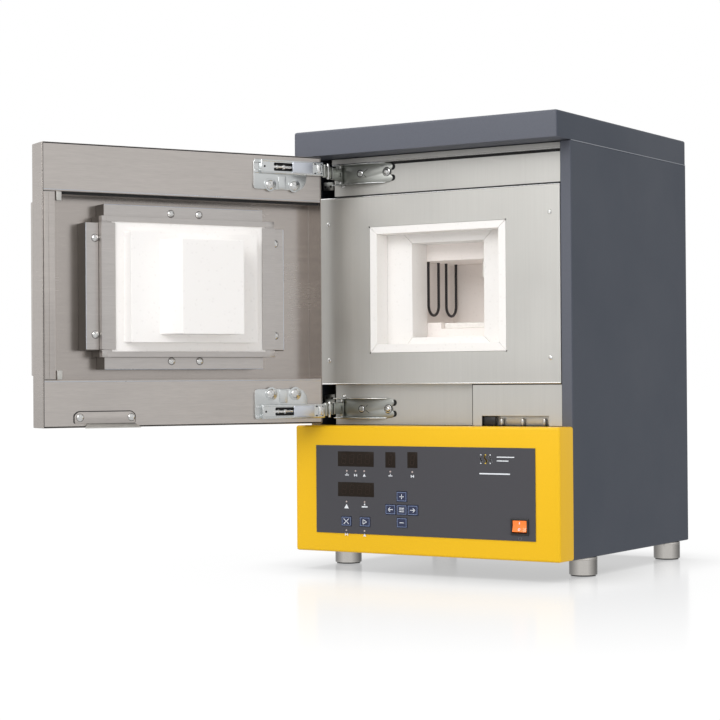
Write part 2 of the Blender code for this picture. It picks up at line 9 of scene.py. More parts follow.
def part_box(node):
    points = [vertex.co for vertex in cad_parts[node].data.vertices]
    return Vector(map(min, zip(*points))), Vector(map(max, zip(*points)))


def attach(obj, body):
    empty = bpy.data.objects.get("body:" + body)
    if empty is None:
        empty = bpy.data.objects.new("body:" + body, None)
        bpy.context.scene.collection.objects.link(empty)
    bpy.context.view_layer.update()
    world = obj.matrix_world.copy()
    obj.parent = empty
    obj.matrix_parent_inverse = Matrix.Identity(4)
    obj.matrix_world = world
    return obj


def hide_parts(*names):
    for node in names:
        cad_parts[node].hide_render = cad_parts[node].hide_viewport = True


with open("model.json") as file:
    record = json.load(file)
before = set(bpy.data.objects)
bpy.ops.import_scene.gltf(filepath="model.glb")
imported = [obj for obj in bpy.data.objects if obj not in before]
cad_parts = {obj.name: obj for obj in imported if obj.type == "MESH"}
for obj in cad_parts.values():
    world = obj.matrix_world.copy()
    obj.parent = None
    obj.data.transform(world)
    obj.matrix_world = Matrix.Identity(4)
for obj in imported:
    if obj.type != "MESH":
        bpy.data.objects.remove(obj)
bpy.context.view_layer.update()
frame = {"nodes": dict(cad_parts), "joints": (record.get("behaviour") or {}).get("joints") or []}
nodes = frame["nodes"]
joints = {joint["name"]: joint for joint in frame["joints"]}
print("frame loaded with", len(nodes), "nodes")

# New pieces are modelled in the cabinet's own millimetres: x from its middle, y from its
# front face, z from the floor. The door, links and rocker are modelled before their turn.
lidLow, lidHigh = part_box("top_cover")
frontMiddle = ((lidLow.x + lidHigh.x) / 2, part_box("front_panel")[0].y, 0)
cabinetPlace = Matrix.Translation(frontMiddle) @ Matrix.Scale(0.001, 4)


def turnedPlace(jointName, degrees, axis):
    pivot = cabinetPlace.inverted() @ Vector(joints[jointName]["pos_m"])
    turn = Matrix.Rotation(math.radians(degrees), 4, axis)
    return cabinetPlace @ Matrix.Translation(pivot) @ turn @ Matrix.Translation(-pivot)


# how far each moving body stands turned at rest
restTurns = {"door": ("door_swing", -117.5, "Z"), "hinge_links": ("hinge_link_fold", -79.9, "Z"),
             "power_rocker": ("power_rocker_tilt", -7, "X")}
places = {body: turnedPlace(*turn) for body, turn in restTurns.items()}


# shaping helpers

def roundOff(shape, edges, width, segments=3):
    bmesh.ops.bevel(shape, geom=list(edges), offset=width, offset_type="OFFSET",
                    segments=segments, profile=0.5, affect="EDGES", clamp_overlap=True,
                    material=-1)


def edgesOf(verts):
    return list(dict.fromkeys(edge for vert in verts for edge in vert.link_edges))


def facesOf(verts):
    return list(dict.fromkeys(face for vert in verts for face in vert.link_faces))


def addBlock(shape, low, high, roundBy=0.0, segments=3):
    low, high = Vector(low), Vector(high)
    verts = bmesh.ops.create_cube(shape, size=1.0)["verts"]
    bmesh.ops.scale(shape, vec=high - low, verts=verts)
    bmesh.ops.translate(shape, vec=(low + high) / 2, verts=verts)
    if roundBy:
        roundOff(shape, edgesOf(verts), roundBy, segments)
    return verts


def addBlocks(shape, rows, roundBy=0.0, segments=3):
    for low, high in rows:
        addBlock(shape, low, high, roundBy, segments)


rodTurns = {"Z": Matrix.Identity(4), "X": Matrix.Rotation(math.pi / 2, 4, "Y"),
            "Y": Matrix.Rotation(-math.pi / 2, 4, "X")}


def addRod(shape, centre, radius, length, axis="Z", sides=32, roundBy=0.0):
    # centre is the middle of its starting end; it runs along the axis by length
    turn = rodTurns[axis]
    if length < 0:
        turn = turn @ Matrix.Rotation(math.pi, 4, "X")
    where = Matrix.Translation(centre) @ turn @ Matrix.Translation((0, 0, abs(length) / 2))
    verts = bmesh.ops.create_cone(shape, cap_ends=True, segments=sides, radius1=radius,
                                  radius2=radius, depth=abs(length), matrix=where)["verts"]
    if roundBy:
        rims = [edge for edge in edgesOf(verts)
                if any(len(face.verts) > 4 for face in edge.link_faces)]
        roundOff(shape, rims, min(roundBy, abs(length) * 0.45), 2)


def addPrism(shape, points, low, high, axis="Y", roundBy=0.0, segments=2):
    # points are (y, z) along X, (x, z) along Y, (x, y) along Z
    spots = {"X": lambda a, b: (low, a, b), "Y": lambda a, b: (a, low, b),
             "Z": lambda a, b: (a, b, low)}
    verts = [shape.verts.new(spots[axis](a, b)) for a, b in points]
    face = shape.faces.new(verts)
    grown = bmesh.ops.extrude_face_region(shape, geom=[face])["geom"]
    ends = [item for item in grown if isinstance(item, bmesh.types.BMVert)]
    push = Vector([high - low if letter == axis else 0 for letter in "XYZ"])
    bmesh.ops.translate(shape, vec=push, verts=ends)
    bmesh.ops.recalc_face_normals(shape, faces=facesOf(verts + ends))
    if roundBy:
        sharp = [edge for edge in edgesOf(verts + ends) if edge.calc_face_angle(0) > 0.6]
        roundOff(shape, sharp, roundBy, segments)


def addSpin(shape, profile, centre=(0, 0, 0), steps=48, turn=None):
    # profile is (radius, height), spun about an upright axis through the centre
    verts = [shape.verts.new((radius, 0, height)) for radius, height in profile]
    edges = [shape.edges.new(pair) for pair in zip(verts, verts[1:])]
    before = set(shape.verts) - set(verts)
    bmesh.ops.spin(shape, geom=verts + edges, cent=(0, 0, 0), axis=(0, 0, 1), dvec=(0, 0, 0),
                   angle=math.tau, steps=steps, use_merge=True, use_duplicate=False)
    made = [vert for vert in shape.verts if vert not in before]
    bmesh.ops.remove_doubles(shape, verts=made, dist=0.0005)
    made = [vert for vert in shape.verts if vert not in before]
    bmesh.ops.recalc_face_normals(shape, faces=facesOf(made))
    if turn:
        bmesh.ops.rotate(shape, matrix=turn, verts=made)
    bmesh.ops.translate(shape, vec=centre, verts=made)


def meshFrom(shape, name):
    mesh = bpy.data.meshes.new(name)
    shape.to_mesh(mesh)
    shape.free()
    return mesh


def meshOf(holder):
    # the object as its modifiers or curve settings leave it
    bpy.context.view_layer.update()
    seen = holder.evaluated_get(bpy.context.evaluated_depsgraph_get())
    return bpy.data.meshes.new_from_object(seen)


def carved(shape, cutter):
    # takes one shape away from another and gives back a shape
    holders = []
    for part in (shape, cutter):
        holder = bpy.data.objects.new("carving", meshFrom(part, "carving"))
        bpy.context.scene.collection.objects.link(holder)
        holders.append(holder)
    step = holders[0].modifiers.new("carve", "BOOLEAN")
    step.object = holders[1]
    step.operation = "DIFFERENCE"
    step.solver = "EXACT"
    result = meshOf(holders[0])
    for holder in holders:
        mesh = holder.data
        bpy.data.objects.remove(holder)
        bpy.data.meshes.remove(mesh)
    cut = bmesh.new()
    cut.from_mesh(result)
    bpy.data.meshes.remove(result)
    return cut


def finishPiece(name, shape, finish, body="cabinet", smooth=35):
    place = places.get(body, cabinetPlace)
    bmesh.ops.transform(shape, matrix=place, verts=shape.verts)
    mesh = meshFrom(shape, name)
    mesh.shade_smooth()
    mesh.set_sharp_from_angle(angle=math.radians(smooth))
    mesh.materials.clear()
    mesh.materials.append(finish)
    piece = bpy.data.objects.new(name, mesh)
    bpy.context.scene.collection.objects.link(piece)
    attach(piece, body)
    return piece


def dress(nodeName, finish, soften=0.0, segments=2):
    # a carried-over node gets its finish and, where wanted, softened edges
    node = nodes[nodeName]
    for holder in node.material_slots:
        holder.material = finish
    if soften:
        weld = node.modifiers.new("weld", "WELD")
        weld.merge_threshold = 0.00001
        rounding = node.modifiers.new("soft edges", "BEVEL")
        rounding.width = soften * 0.001
        rounding.segments = segments
        rounding.limit_method = "ANGLE"
        rounding.angle_limit = math.radians(35)


# shader helpers

def feed(tree, socket, value):
    # joins the socket to another one, or sets it
    if isinstance(value, bpy.types.NodeSocket):
        tree.links.new(value, socket)
    else:
        socket.default_value = value


def addNode(tree, kind, props=None, **inputs):
    made = tree.nodes.new(kind)
    for label, value in (props or {}).items():
        setattr(made, label, value)
    for label, value in inputs.items():
        feed(tree, made.inputs[label.replace("_", " ")], value)
    return made


def addMath(tree, operation, *values, clamp=False):
    made = tree.nodes.new("ShaderNodeMath")
    made.operation = operation
    made.use_clamp = clamp
    for socket, value in zip(made.inputs, values):
        feed(tree, socket, value)
    return made.outputs[0]


def addMix(tree, factor, first, second):
    made = tree.nodes.new("ShaderNodeMix")
    made.data_type = "RGBA"
    for number, value in ((0, factor), (6, first), (7, second)):
        feed(tree, made.inputs[number], value)
    return made.outputs[2]


def addRange(tree, value, fromLow, fromHigh, toLow, toHigh):
    made = addNode(tree, "ShaderNodeMapRange", {"clamp": True}, Value=value, From_Min=fromLow,
                   From_Max=fromHigh, To_Min=toLow, To_Max=toHigh)
    return made.outputs[0]


def newGroup(name, inputs, outputs):
    group = bpy.data.node_groups.new(name, "ShaderNodeTree")
    for label, kind, value in inputs:
        socket = group.interface.new_socket(name=label, in_out="INPUT", socket_type=kind)
        if value is not None:
            socket.default_value = value
    for label, kind in outputs:
        group.interface.new_socket(name=label, in_out="OUTPUT", socket_type=kind)
    given = group.nodes.new("NodeGroupInput").outputs
    return group, given, group.nodes.new("NodeGroupOutput").inputs


def useGroup(tree, group, **inputs):
    made = tree.nodes.new("ShaderNodeGroup")
    made.node_tree = group
    for label, value in inputs.items():
        feed(tree, made.inputs[label], value)
    return made.outputs


def makeBrushedGrain():
    # lines left by the grinding belt; Stretch is large across the lines and small along them
    group, given, out = newGroup(
        "brushedGrain",
        [("Vector", "NodeSocketVector", None), ("Stretch", "NodeSocketVector", (900, 900, 12)),
         ("Lines", "NodeSocketFloat", 0.5), ("Cloud", "NodeSocketFloat", 0.3)],
        [(label, "NodeSocketFloat") for label in ("Tone", "Dullness", "Height")])
    fine = addNode(group, "ShaderNodeVectorMath", {"operation": "MULTIPLY"})
    group.links.new(given["Vector"], fine.inputs[0])
    group.links.new(given["Stretch"], fine.inputs[1])
    thin = addNode(group, "ShaderNodeTexNoise", Vector=fine.outputs[0], Scale=1.0, Detail=3.0,
                   Roughness=0.6)
    broad = addNode(group, "ShaderNodeTexNoise", Vector=fine.outputs[0], Scale=0.22, Detail=4.0,
                    Roughness=0.65)
    cloud = addNode(group, "ShaderNodeTexNoise", Vector=given["Vector"], Scale=9.0, Detail=4.0,
                    Roughness=0.55).outputs["Fac"]
    lines = addMath(group, "ADD", addMath(group, "MULTIPLY", thin.outputs["Fac"], 0.55),
                    addMath(group, "MULTIPLY", broad.outputs["Fac"], 0.45))
    lineTone = addMath(group, "MULTIPLY", addMath(group, "SUBTRACT", lines, 0.5), given["Lines"])
    cloudTone = addMath(group, "MULTIPLY", addMath(group, "SUBTRACT", cloud, 0.5), given["Cloud"])
    tone = addMath(group, "ADD", addMath(group, "ADD", lineTone, cloudTone), 0.5, clamp=True)
    group.links.new(tone, out["Tone"])
    dull = addMath(group, "ADD", addMath(group, "MULTIPLY", cloud, 0.7),
                   addMath(group, "MULTIPLY", lines, 0.3))
    group.links.new(dull, out["Dullness"])
    group.links.new(lines, out["Height"])
    return group


def makePowderSpeckle():
    # the small even bumps of a baked powder coat
    group, given, out = newGroup(
        "powderSpeckle",
        [("Vector", "NodeSocketVector", None), ("Size", "NodeSocketFloat", 700.0)],
        [(label, "NodeSocketFloat") for label in ("Tone", "Height", "Handling")])
    spot, size = given["Vector"], given["Size"]
    peel = addNode(group, "ShaderNodeTexNoise", Vector=spot, Scale=size, Detail=2.0, Roughness=0.5)
    grain = addNode(group, "ShaderNodeTexVoronoi", {"feature": "SMOOTH_F1"}, Vector=spot,
                    Scale=size, Smoothness=0.6)
    height = addMath(group, "ADD", peel.outputs["Fac"],
                     addMath(group, "MULTIPLY", grain.outputs["Distance"], 0.6))
    handling = addNode(group, "ShaderNodeTexNoise", Vector=spot, Scale=7.0, Detail=5.0,
                       Roughness=0.6)
    group.links.new(addMath(group, "MULTIPLY", height, 0.7), out["Tone"])
    group.links.new(height, out["Height"])
    group.links.new(handling.outputs["Fac"], out["Handling"])
    return group


def makeFibreFuzz():
    # vacuum-formed fibre board: short matted fibres, shallow pits and faint clouds
    group, given, out = newGroup(
        "fibreFuzz",
        [("Vector", "NodeSocketVector", None), ("Size", "NodeSocketFloat", 420.0)],
        [(label, "NodeSocketFloat") for label in ("Tone", "Height", "Pits")])
    bend = addNode(group, "ShaderNodeTexNoise", Vector=given["Vector"], Scale=160.0, Detail=2.0)
    swirl = addNode(group, "ShaderNodeVectorMath", {"operation": "MULTIPLY_ADD"})
    group.links.new(bend.outputs["Color"], swirl.inputs[0])
    swirl.inputs[1].default_value = (0.004, 0.004, 0.004)
    group.links.new(given["Vector"], swirl.inputs[2])
    fibres = addNode(group, "ShaderNodeTexNoise", {"noise_type": "RIDGED_MULTIFRACTAL"},
                     Vector=swirl.outputs[0], Scale=given["Size"], Detail=4.0, Roughness=0.6)
    pits = addNode(group, "ShaderNodeTexVoronoi", Vector=swirl.outputs[0], Scale=150.0,
                   Randomness=1.0)
    pitMask = addRange(group, pits.outputs["Distance"], 0.06, 0.26, 1.0, 0.0)
    cloud = addNode(group, "ShaderNodeTexNoise", Vector=given["Vector"], Scale=22.0, Detail=3.0)
    height = addMath(group, "SUBTRACT", addMath(group, "MULTIPLY", fibres.outputs["Fac"], 0.5),
                     addMath(group, "MULTIPLY", pitMask, 0.6))
    tone = addMath(group, "ADD", addMath(group, "MULTIPLY", cloud.outputs["Fac"], 0.6),
                   addMath(group, "MULTIPLY", fibres.outputs["Fac"], 0.4), clamp=True)
    group.links.new(tone, out["Tone"])
    group.links.new(height, out["Height"])
    group.links.new(pitMask, out["Pits"])
    return group


brushedGrain = makeBrushedGrain()
powderSpeckle = makePowderSpeckle()
fibreFuzz = makeFibreFuzz()


def startFinish(name, roughness, metallic, **sockets):
    material = bpy.data.materials.new(name)
    material.use_nodes = True
    tree = material.node_tree
    shader = tree.nodes["Principled BSDF"]
    shader.inputs["Roughness"].default_value = roughness
    shader.inputs["Metallic"].default_value = metallic
    for label, value in sockets.items():
        shader.inputs[label.replace("_", " ")].default_value = value
    spot = tree.nodes.new("ShaderNodeTexCoord").outputs["Object"]
    return material, tree, shader, spot


def addRelief(tree, shader, height, strength, distance):
    relief = addNode(tree, "ShaderNodeBump", Height=height, Strength=strength, Distance=distance)
    tree.links.new(relief.outputs["Normal"], shader.inputs["Normal"])


def tinted(colour, factor):
    return (*[min(1.0, part * factor) for part in colour], 1.0)


def varyRoughness(tree, shader, value, low, high):
    spread = addRange(tree, value, 0.3, 0.7, low, high)
    tree.links.new(spread, shader.inputs["Roughness"])


def normalOf(tree):
    return tree.nodes.new("ShaderNodeNewGeometry").outputs["Normal"]


def makePaint(name, colour, roughness=0.5, spread=0.1, size=700.0, relief=0.25, gloss=0.5,
              paintedSideShade=0.0):
    material, tree, shader, spot = startFinish(name, roughness, 0.0, Specular_IOR_Level=gloss)
    speck = useGroup(tree, powderSpeckle, Vector=spot, Size=size)
    tone = addMix(tree, speck["Tone"], tinted(colour, 1 - spread), tinted(colour, 1 + spread))
    if paintedSideShade:
        # painted shade: the coat is mixed towards a dark blue on faces turned to the side
        facing = addNode(tree, "ShaderNodeSeparateXYZ", Vector=normalOf(tree)).outputs["X"]
        depth = addRange(tree, addMath(tree, "ABSOLUTE", facing), 0.4, 0.95, 0.0, paintedSideShade)
        tone = addMix(tree, depth, tone, (0.0, 0.012, 0.028, 1.0))
    tree.links.new(tone, shader.inputs["Base Color"])
    varyRoughness(tree, shader, speck["Handling"], roughness - 0.05, roughness + 0.05)
    addRelief(tree, shader, speck["Height"], relief, 0.0002)
    return material


def makeMetal(name, colour, roughness, stretch, lines=0.5, cloud=0.3, spread=0.12, relief=0.12,
              metallic=1.0):
    material, tree, shader, spot = startFinish(name, roughness, metallic)
    grain = useGroup(tree, brushedGrain, Vector=spot, Stretch=stretch, Lines=lines, Cloud=cloud)
    tone = addMix(tree, grain["Tone"], tinted(colour, 1 - spread), tinted(colour, 1 + spread))
    tree.links.new(tone, shader.inputs["Base Color"])
    varyRoughness(tree, shader, grain["Dullness"], roughness - 0.06, roughness + 0.07)
    addRelief(tree, shader, grain["Height"], relief, 0.0001)
    return material


def makeTurnedPaintedReflection(name, colour, roughness, across, edge):
    # turned steel with a painted reflection: the base colour darkens on the sides of a cylinder,
    # standing in for the dim ends of the studio mirrored there
    material, tree, shader, spot = startFinish(name, roughness, 1.0)
    grain = useGroup(tree, brushedGrain, Vector=spot, Stretch=(20, 20, 1600), Lines=0.5, Cloud=0.2)
    tone = addMix(tree, grain["Tone"], tinted(colour, 0.9), tinted(colour, 1.1))
    slant = addNode(tree, "ShaderNodeVectorMath", {"operation": "DOT_PRODUCT"})
    tree.links.new(normalOf(tree), slant.inputs[0])
    slant.inputs[1].default_value = across
    aside = addMath(tree, "ABSOLUTE", addMath(tree, "ADD", slant.outputs["Value"], 0.1))
    # painted reflection: faces turned towards the view's left and right get a dark tone
    sides = addRange(tree, aside, 0.3, 0.95, 0.0, edge)
    tone = addMix(tree, sides, tone, tinted(colour, 0.12))
    tree.links.new(tone, shader.inputs["Base Color"])
    addRelief(tree, shader, grain["Height"], 0.05, 0.0001)
    return material


def makeFibre(name, colour, warm, relief=0.5, size=420.0, glow=0.0):
    # glow is painted light: a faint emission from a surface that is no lamp
    material, tree, shader, spot = startFinish(
        name, 0.92, 0.0, Specular_IOR_Level=0.25, Emission_Color=(1.0, 0.93, 0.87, 1.0),
        Emission_Strength=glow)
    fuzz = useGroup(tree, fibreFuzz, Vector=spot, Size=size)
    tone = addMix(tree, fuzz["Tone"], (*warm, 1.0), (*colour, 1.0))
    # painted shade: the colour is darkened in the pits
    paintedPitShade = addMath(tree, "MULTIPLY", fuzz["Pits"], 0.25)
    tone = addMix(tree, paintedPitShade, tone, tinted(warm, 0.8))
    tree.links.new(tone, shader.inputs["Base Color"])
    addRelief(tree, shader, fuzz["Height"], relief, 0.0004)
    return material


def makePlain(name, colour, roughness, spread=0.06, metallic=0.0, scale=260.0, relief=0.08,
              **sockets):
    # smooth moulded or printed material with faint clouding and a fine surface
    material, tree, shader, spot = startFinish(name, roughness, metallic, **sockets)
    cloud = addNode(tree, "ShaderNodeTexNoise", Vector=spot, Scale=scale, Detail=3.0,
                    Roughness=0.55).outputs["Fac"]
    tone = addMix(tree, cloud, tinted(colour, 1 - spread), tinted(colour, 1 + spread))
    tree.links.new(tone, shader.inputs["Base Color"])
    varyRoughness(tree, shader, cloud, roughness * 0.85, roughness * 1.15)
    addRelief(tree, shader, cloud, relief, 0.0001)
    return material


# the slate carries painted shade on its side faces
slatePaint = makePaint("slatePaint", (0.112, 0.119, 0.143), 0.5, 0.12, 900.0, 0.35, gloss=0.18,
                       paintedSideShade=0.46)
# a lighter copy of the slate paint, for the painted highlight on the side seams
paintedSeamHighlight = makePaint("paintedSeamHighlight", (0.36, 0.38, 0.42), 0.4, 0.05)
yellowPaint = makePaint("yellowPaint", (0.87, 0.51, 0.012), 0.34, 0.02, 500.0, 0.12, gloss=0.22)

# how the grain is stretched: small along its lines
upright = (1500, 1500, 14)
acrossX = (10, 800, 800)
acrossDoor = (60, 60, 900)
cast = (40, 40, 40)
stainlessFront = makeMetal("stainlessFront", (0.60, 0.59, 0.56), 0.36, upright, 0.6, 0.3, 0.14,
                           0.15, 0.78)
stainlessPlate = makeMetal("stainlessPlate", (0.60, 0.59, 0.57), 0.36, acrossX, 1.0, 0.35, 0.18)
stainlessDoor = makeMetal("stainlessDoor", (0.60, 0.56, 0.53), 0.33, acrossDoor,
                          1.0, 0.45, 0.2, 0.15)
stainlessFloor = makeMetal("stainlessFloor", (0.50, 0.46, 0.43), 0.24, acrossDoor,
                           0.8, 0.6, 0.2, 0.1)
stainlessDull = makeMetal("stainlessDull", (0.59, 0.56, 0.54), 0.34, acrossDoor,
                          1.0, 0.4, 0.18, 0.15)
# a dark copy of the stainless: painted shade on the tray's sides and the clips' fold lines
trayShade = makeMetal("trayShade", (0.16, 0.145, 0.13), 0.4, acrossDoor, 0.8, 0.4, 0.2, 0.1)
zincPlate = makeMetal("zincPlate", (0.68, 0.70, 0.70), 0.22, cast, 0.25, 0.4, 0.12, 0.01)
# a darker copy of the zinc plate: painted shade for the hinge parts deep in the gap
zincPaintedShade = makeMetal("zincPaintedShade", (0.42, 0.43, 0.405), 0.34, cast, 0.3, 0.5, 0.14, 0.01)
satinCap = makeMetal("satinCap", (0.70, 0.73, 0.79), 0.3, (600, 600, 20), 0.3, 0.3, 0.08, 0.03)
brightSteel = makeMetal("brightSteel", (0.78, 0.78, 0.77), 0.16, (60, 60, 60), 0.2, 0.3, 0.06, 0.01)
coreSteel = makeMetal("coreSteel", (0.10, 0.10, 0.11), 0.5, (20, 20, 1500), 0.9, 0.3, 0.3, 0.3, 0.7)
footSteel = makeTurnedPaintedReflection("footSteel", (0.78, 0.75, 0.71), 0.2, (0.84, 0.54, 0.0), 0.9)

fibreWhite = makeFibre("fibreWhite", (0.92, 0.905, 0.885), (0.89, 0.865, 0.84), 0.35)
fibrePlug = makeFibre("fibrePlug", (0.955, 0.94, 0.925), (0.93, 0.905, 0.885), 0.3)
# the chamber's fibre glows faintly: painted light
fibreFired = makeFibre("fibreFired", (0.96, 0.915, 0.885), (0.93, 0.87, 0.83), glow=0.05)
hearthCeramic = makePlain("hearthCeramic", (0.93, 0.89, 0.85), 0.7, 0.1, relief=0.3)
tubeCeramic = makePlain("tubeCeramic", (0.86, 0.84, 0.80), 0.45, 0.05)
elementSkin = makePlain("elementSkin", (0.035, 0.032, 0.035), 0.38, 0.3, 0.25, 500.0, 0.3)

foilGrey = makePlain("foilGrey", (0.070, 0.069, 0.077), 0.42, 0.05, 0.0, 1200.0, 0.15,
                     Specular_IOR_Level=0.2)
displayGlass = makePlain("displayGlass", (0.022, 0.016, 0.012), 0.2, 0.1, 0.0, 90.0, 0.0,
                         Specular_IOR_Level=0.12)
displayInk = makePlain("displayInk", (0.029, 0.019, 0.014), 0.3, 0.1, Specular_IOR_Level=0.12)
keyNavy = makePlain("keyNavy", (0.020, 0.027, 0.070), 0.38, 0.12, 0.0, 900.0, 0.15)
printWhite = makePlain("printWhite", (0.80, 0.83, 0.87), 0.5, 0.04)
printPale = makePlain("printPale", (0.30, 0.31, 0.33), 0.5, 0.04)
printYellow = makePlain("printYellow", (0.85, 0.55, 0.03), 0.5, 0.04)
keyLine = makePlain("keyLine", (0.20, 0.26, 0.42), 0.5, 0.04)
lampLens = makePlain("lampLens", (0.50, 0.42, 0.40), 0.22, 0.05)
blackPlastic = makePlain("blackPlastic", (0.014, 0.014, 0.015), 0.35, 0.2, 0.0, 700.0, 0.15)
# the faint emission is painted light, standing in for light passing through the lens
orangeLens = makePlain("orangeLens", (0.93, 0.20, 0.022), 0.2, 0.05, 0.0, 200.0, 0.02,
                       Coat_Weight=0.5, Coat_Roughness=0.08,
                       Emission_Color=(1.0, 0.22, 0.03, 1.0), Emission_Strength=0.18)
boardGreen = makePlain("boardGreen", (0.02, 0.12, 0.05), 0.45, 0.2, 0.0, 300.0)
# near-black for painted shade: shadow strips in seams and gaps, shadow rings round screws, and the
# dark of slots, slits, holes and score lines
paintedShadeBlack = makePlain("paintedShadeBlack", (0.010, 0.010, 0.011), 0.7, 0.1)
rubberPad = makePlain("rubberPad", (0.018, 0.018, 0.019), 0.65, 0.15)
print("finishes made")


# a cross-head screw, made once in units of its radius and copied where it is needed
screwSettings = {"steps": 40, "height": 0.52, "slotWidth": 0.24, "slotReach": 0.62}


def makeScrewMesh():
    high = screwSettings["height"]
    shape = bmesh.new()
    profile = [(0, high), (0.3, high * 0.985), (0.6, high * 0.87), (0.82, high * 0.64),
               (0.95, high * 0.36), (1.0, high * 0.12), (1.0, 0.0), (0, 0.0)]
    addSpin(shape, profile, steps=screwSettings["steps"])
    cutter = bmesh.new()
    wide, reach = screwSettings["slotWidth"] / 2, screwSettings["slotReach"]
    cross = [(wide, wide), (wide, reach), (-wide, reach), (-wide, wide), (-reach, wide),
             (-reach, -wide), (-wide, -wide), (-wide, -reach), (wide, -reach), (wide, -wide),
             (reach, -wide), (reach, wide)]
    addPrism(cutter, cross, high * 0.42, high + 1, "Z")
    cut = carved(shape, cutter)
    return meshFrom(cut, "screwHead")


screwMesh = makeScrewMesh()


screwLooks = {"-Y": Matrix.Rotation(math.pi / 2, 4, "X"),
              "+Y": Matrix.Rotation(-math.pi / 2, 4, "X")}


def addScrew(shape, spot, radius, facing, turn=20.0, flatten=1.0):
    # facing is the way the head looks: "-Y" for the front, "+Y" for the back and the door's lining
    size = Matrix.Diagonal((radius, radius, radius * flatten, 1))
    turned = screwLooks[facing] @ Matrix.Rotation(math.radians(turn), 4, "Z")
    where = Matrix.Translation(spot) @ turned @ size
    before = set(shape.verts)
    shape.from_mesh(screwMesh)
    added = [vert for vert in shape.verts if vert not in before]
    bmesh.ops.transform(shape, matrix=where, verts=added)


# lid

lidSettings = {"halfWidth": 190.0, "front": -36.0, "back": 346.0, "bottom": 530.5, "top": 563.0,
               "corner": 3.2, "wall": 1.5, "flangeInset": 1.8, "flangeBack": 15.2,
               "flange": (0.3, 1.6)}


def makeLid():
    s = lidSettings
    shape = bmesh.new()
    verts = addBlock(shape, (-s["halfWidth"], s["front"], s["bottom"]),
                     (s["halfWidth"], s["back"], s["top"]))
    edges = [edge for edge in edgesOf(verts)
             if max(vert.co.z for vert in edge.verts) > s["bottom"] + 1]
    roundOff(shape, edges, s["corner"], 5)
    shape.faces.ensure_lookup_table()
    under = min(shape.faces, key=lambda face: face.calc_center_median().z)
    bmesh.ops.inset_region(shape, faces=[under], thickness=s["wall"], use_even_offset=True)
    hollow = bmesh.ops.extrude_face_region(shape, geom=[under])["geom"]
    bmesh.ops.translate(shape, vec=(0, 0, s["top"] - s["bottom"] - s["wall"]),
                        verts=[item for item in hollow if isinstance(item, bmesh.types.BMVert)])
    bmesh.ops.delete(shape, geom=[under], context="FACES_ONLY")
    # return flange that closes the overhang from below
    inset, (low, high) = s["flangeInset"], s["flange"]
    addBlock(shape, (-s["halfWidth"] + inset, s["front"] + inset, s["bottom"] + low),
             (s["halfWidth"] - inset, s["flangeBack"], s["bottom"] + high), 0.4, 2)
    lid = finishPiece("lid", shape, slatePaint)
    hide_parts("top_cover")


makeLid()
for side in ("left_side_panel", "right_side_panel"):
    dress(side, slatePaint, 0.9, 3)
dress("back_panel", slatePaint, 0.3)


seamSettings = {"x": 189.8, "front": 1.0, "height": 530.1, "radius": 0.4, "length": 344.0}


def makeSeams():
    # the upper edge of each side sheet under the lid, as rods of lighter slate paint: a painted
    # highlight
    s = seamSettings
    shape = bmesh.new()
    for x in (-s["x"], s["x"]):
        addRod(shape, (x, s["front"], s["height"]), s["radius"], s["length"], "Y", 12)
    finishPiece("side_seams", shape, paintedSeamHighlight)


makeSeams()
dress("base_plate", stainlessPlate)


# feet: turned stainless cylinders on a dark pad

footSettings = {"radius": 17.5, "height": 23.5, "x": 172.5, "y": (60.5, 313.0),
                "padRadius": 15.5, "padHeight": 1.4}


def makeFeet():
    s = footSettings
    r, h, pad0 = s["radius"], s["height"], s["padHeight"]
    # a bevelled top, a fine groove below it and a rounded lower edge
    profile = [(0, h), (r - 1.2, h), (r - 0.35, h - 0.25), (r, h - 0.9), (r, h - 3.0),
               (r - 0.18, h - 3.25), (r, h - 3.5), (r, pad0 + 0.9), (r - 0.3, pad0 + 0.3),
               (r - 1.0, pad0), (0, pad0)]
    for y, where in zip(s["y"], ("front", "back")):
        for x, side in ((-s["x"], "left"), (s["x"], "right")):
            shape = bmesh.new()
            addSpin(shape, profile, (x, y, 0), 72)
            foot = finishPiece(f"foot_{where}_{side}_turned", shape, footSteel)
            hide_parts(f"foot_{where}_{side}")
            pad = bmesh.new()
            addRod(pad, (x, y, 0), s["padRadius"], s["padHeight"], "Z", 48, 0.25)
            finishPiece(f"foot_pad_{where}_{side}", pad, rubberPad)


makeFeet()
print("lid, sides and feet made")


# console: the yellow sheet housing under the door

consoleSettings = {"halfWidth": 190.0, "front": -36.0, "back": -0.3, "bottom": 23.8, "top": 184.5,
                   "corner": 3.0, "wall": 1.5, "boardWindow": (-150.0, 0.0, 52.0, 156.0),
                   "switchHole": (125.5, 148.5, 56.0, 74.0)}


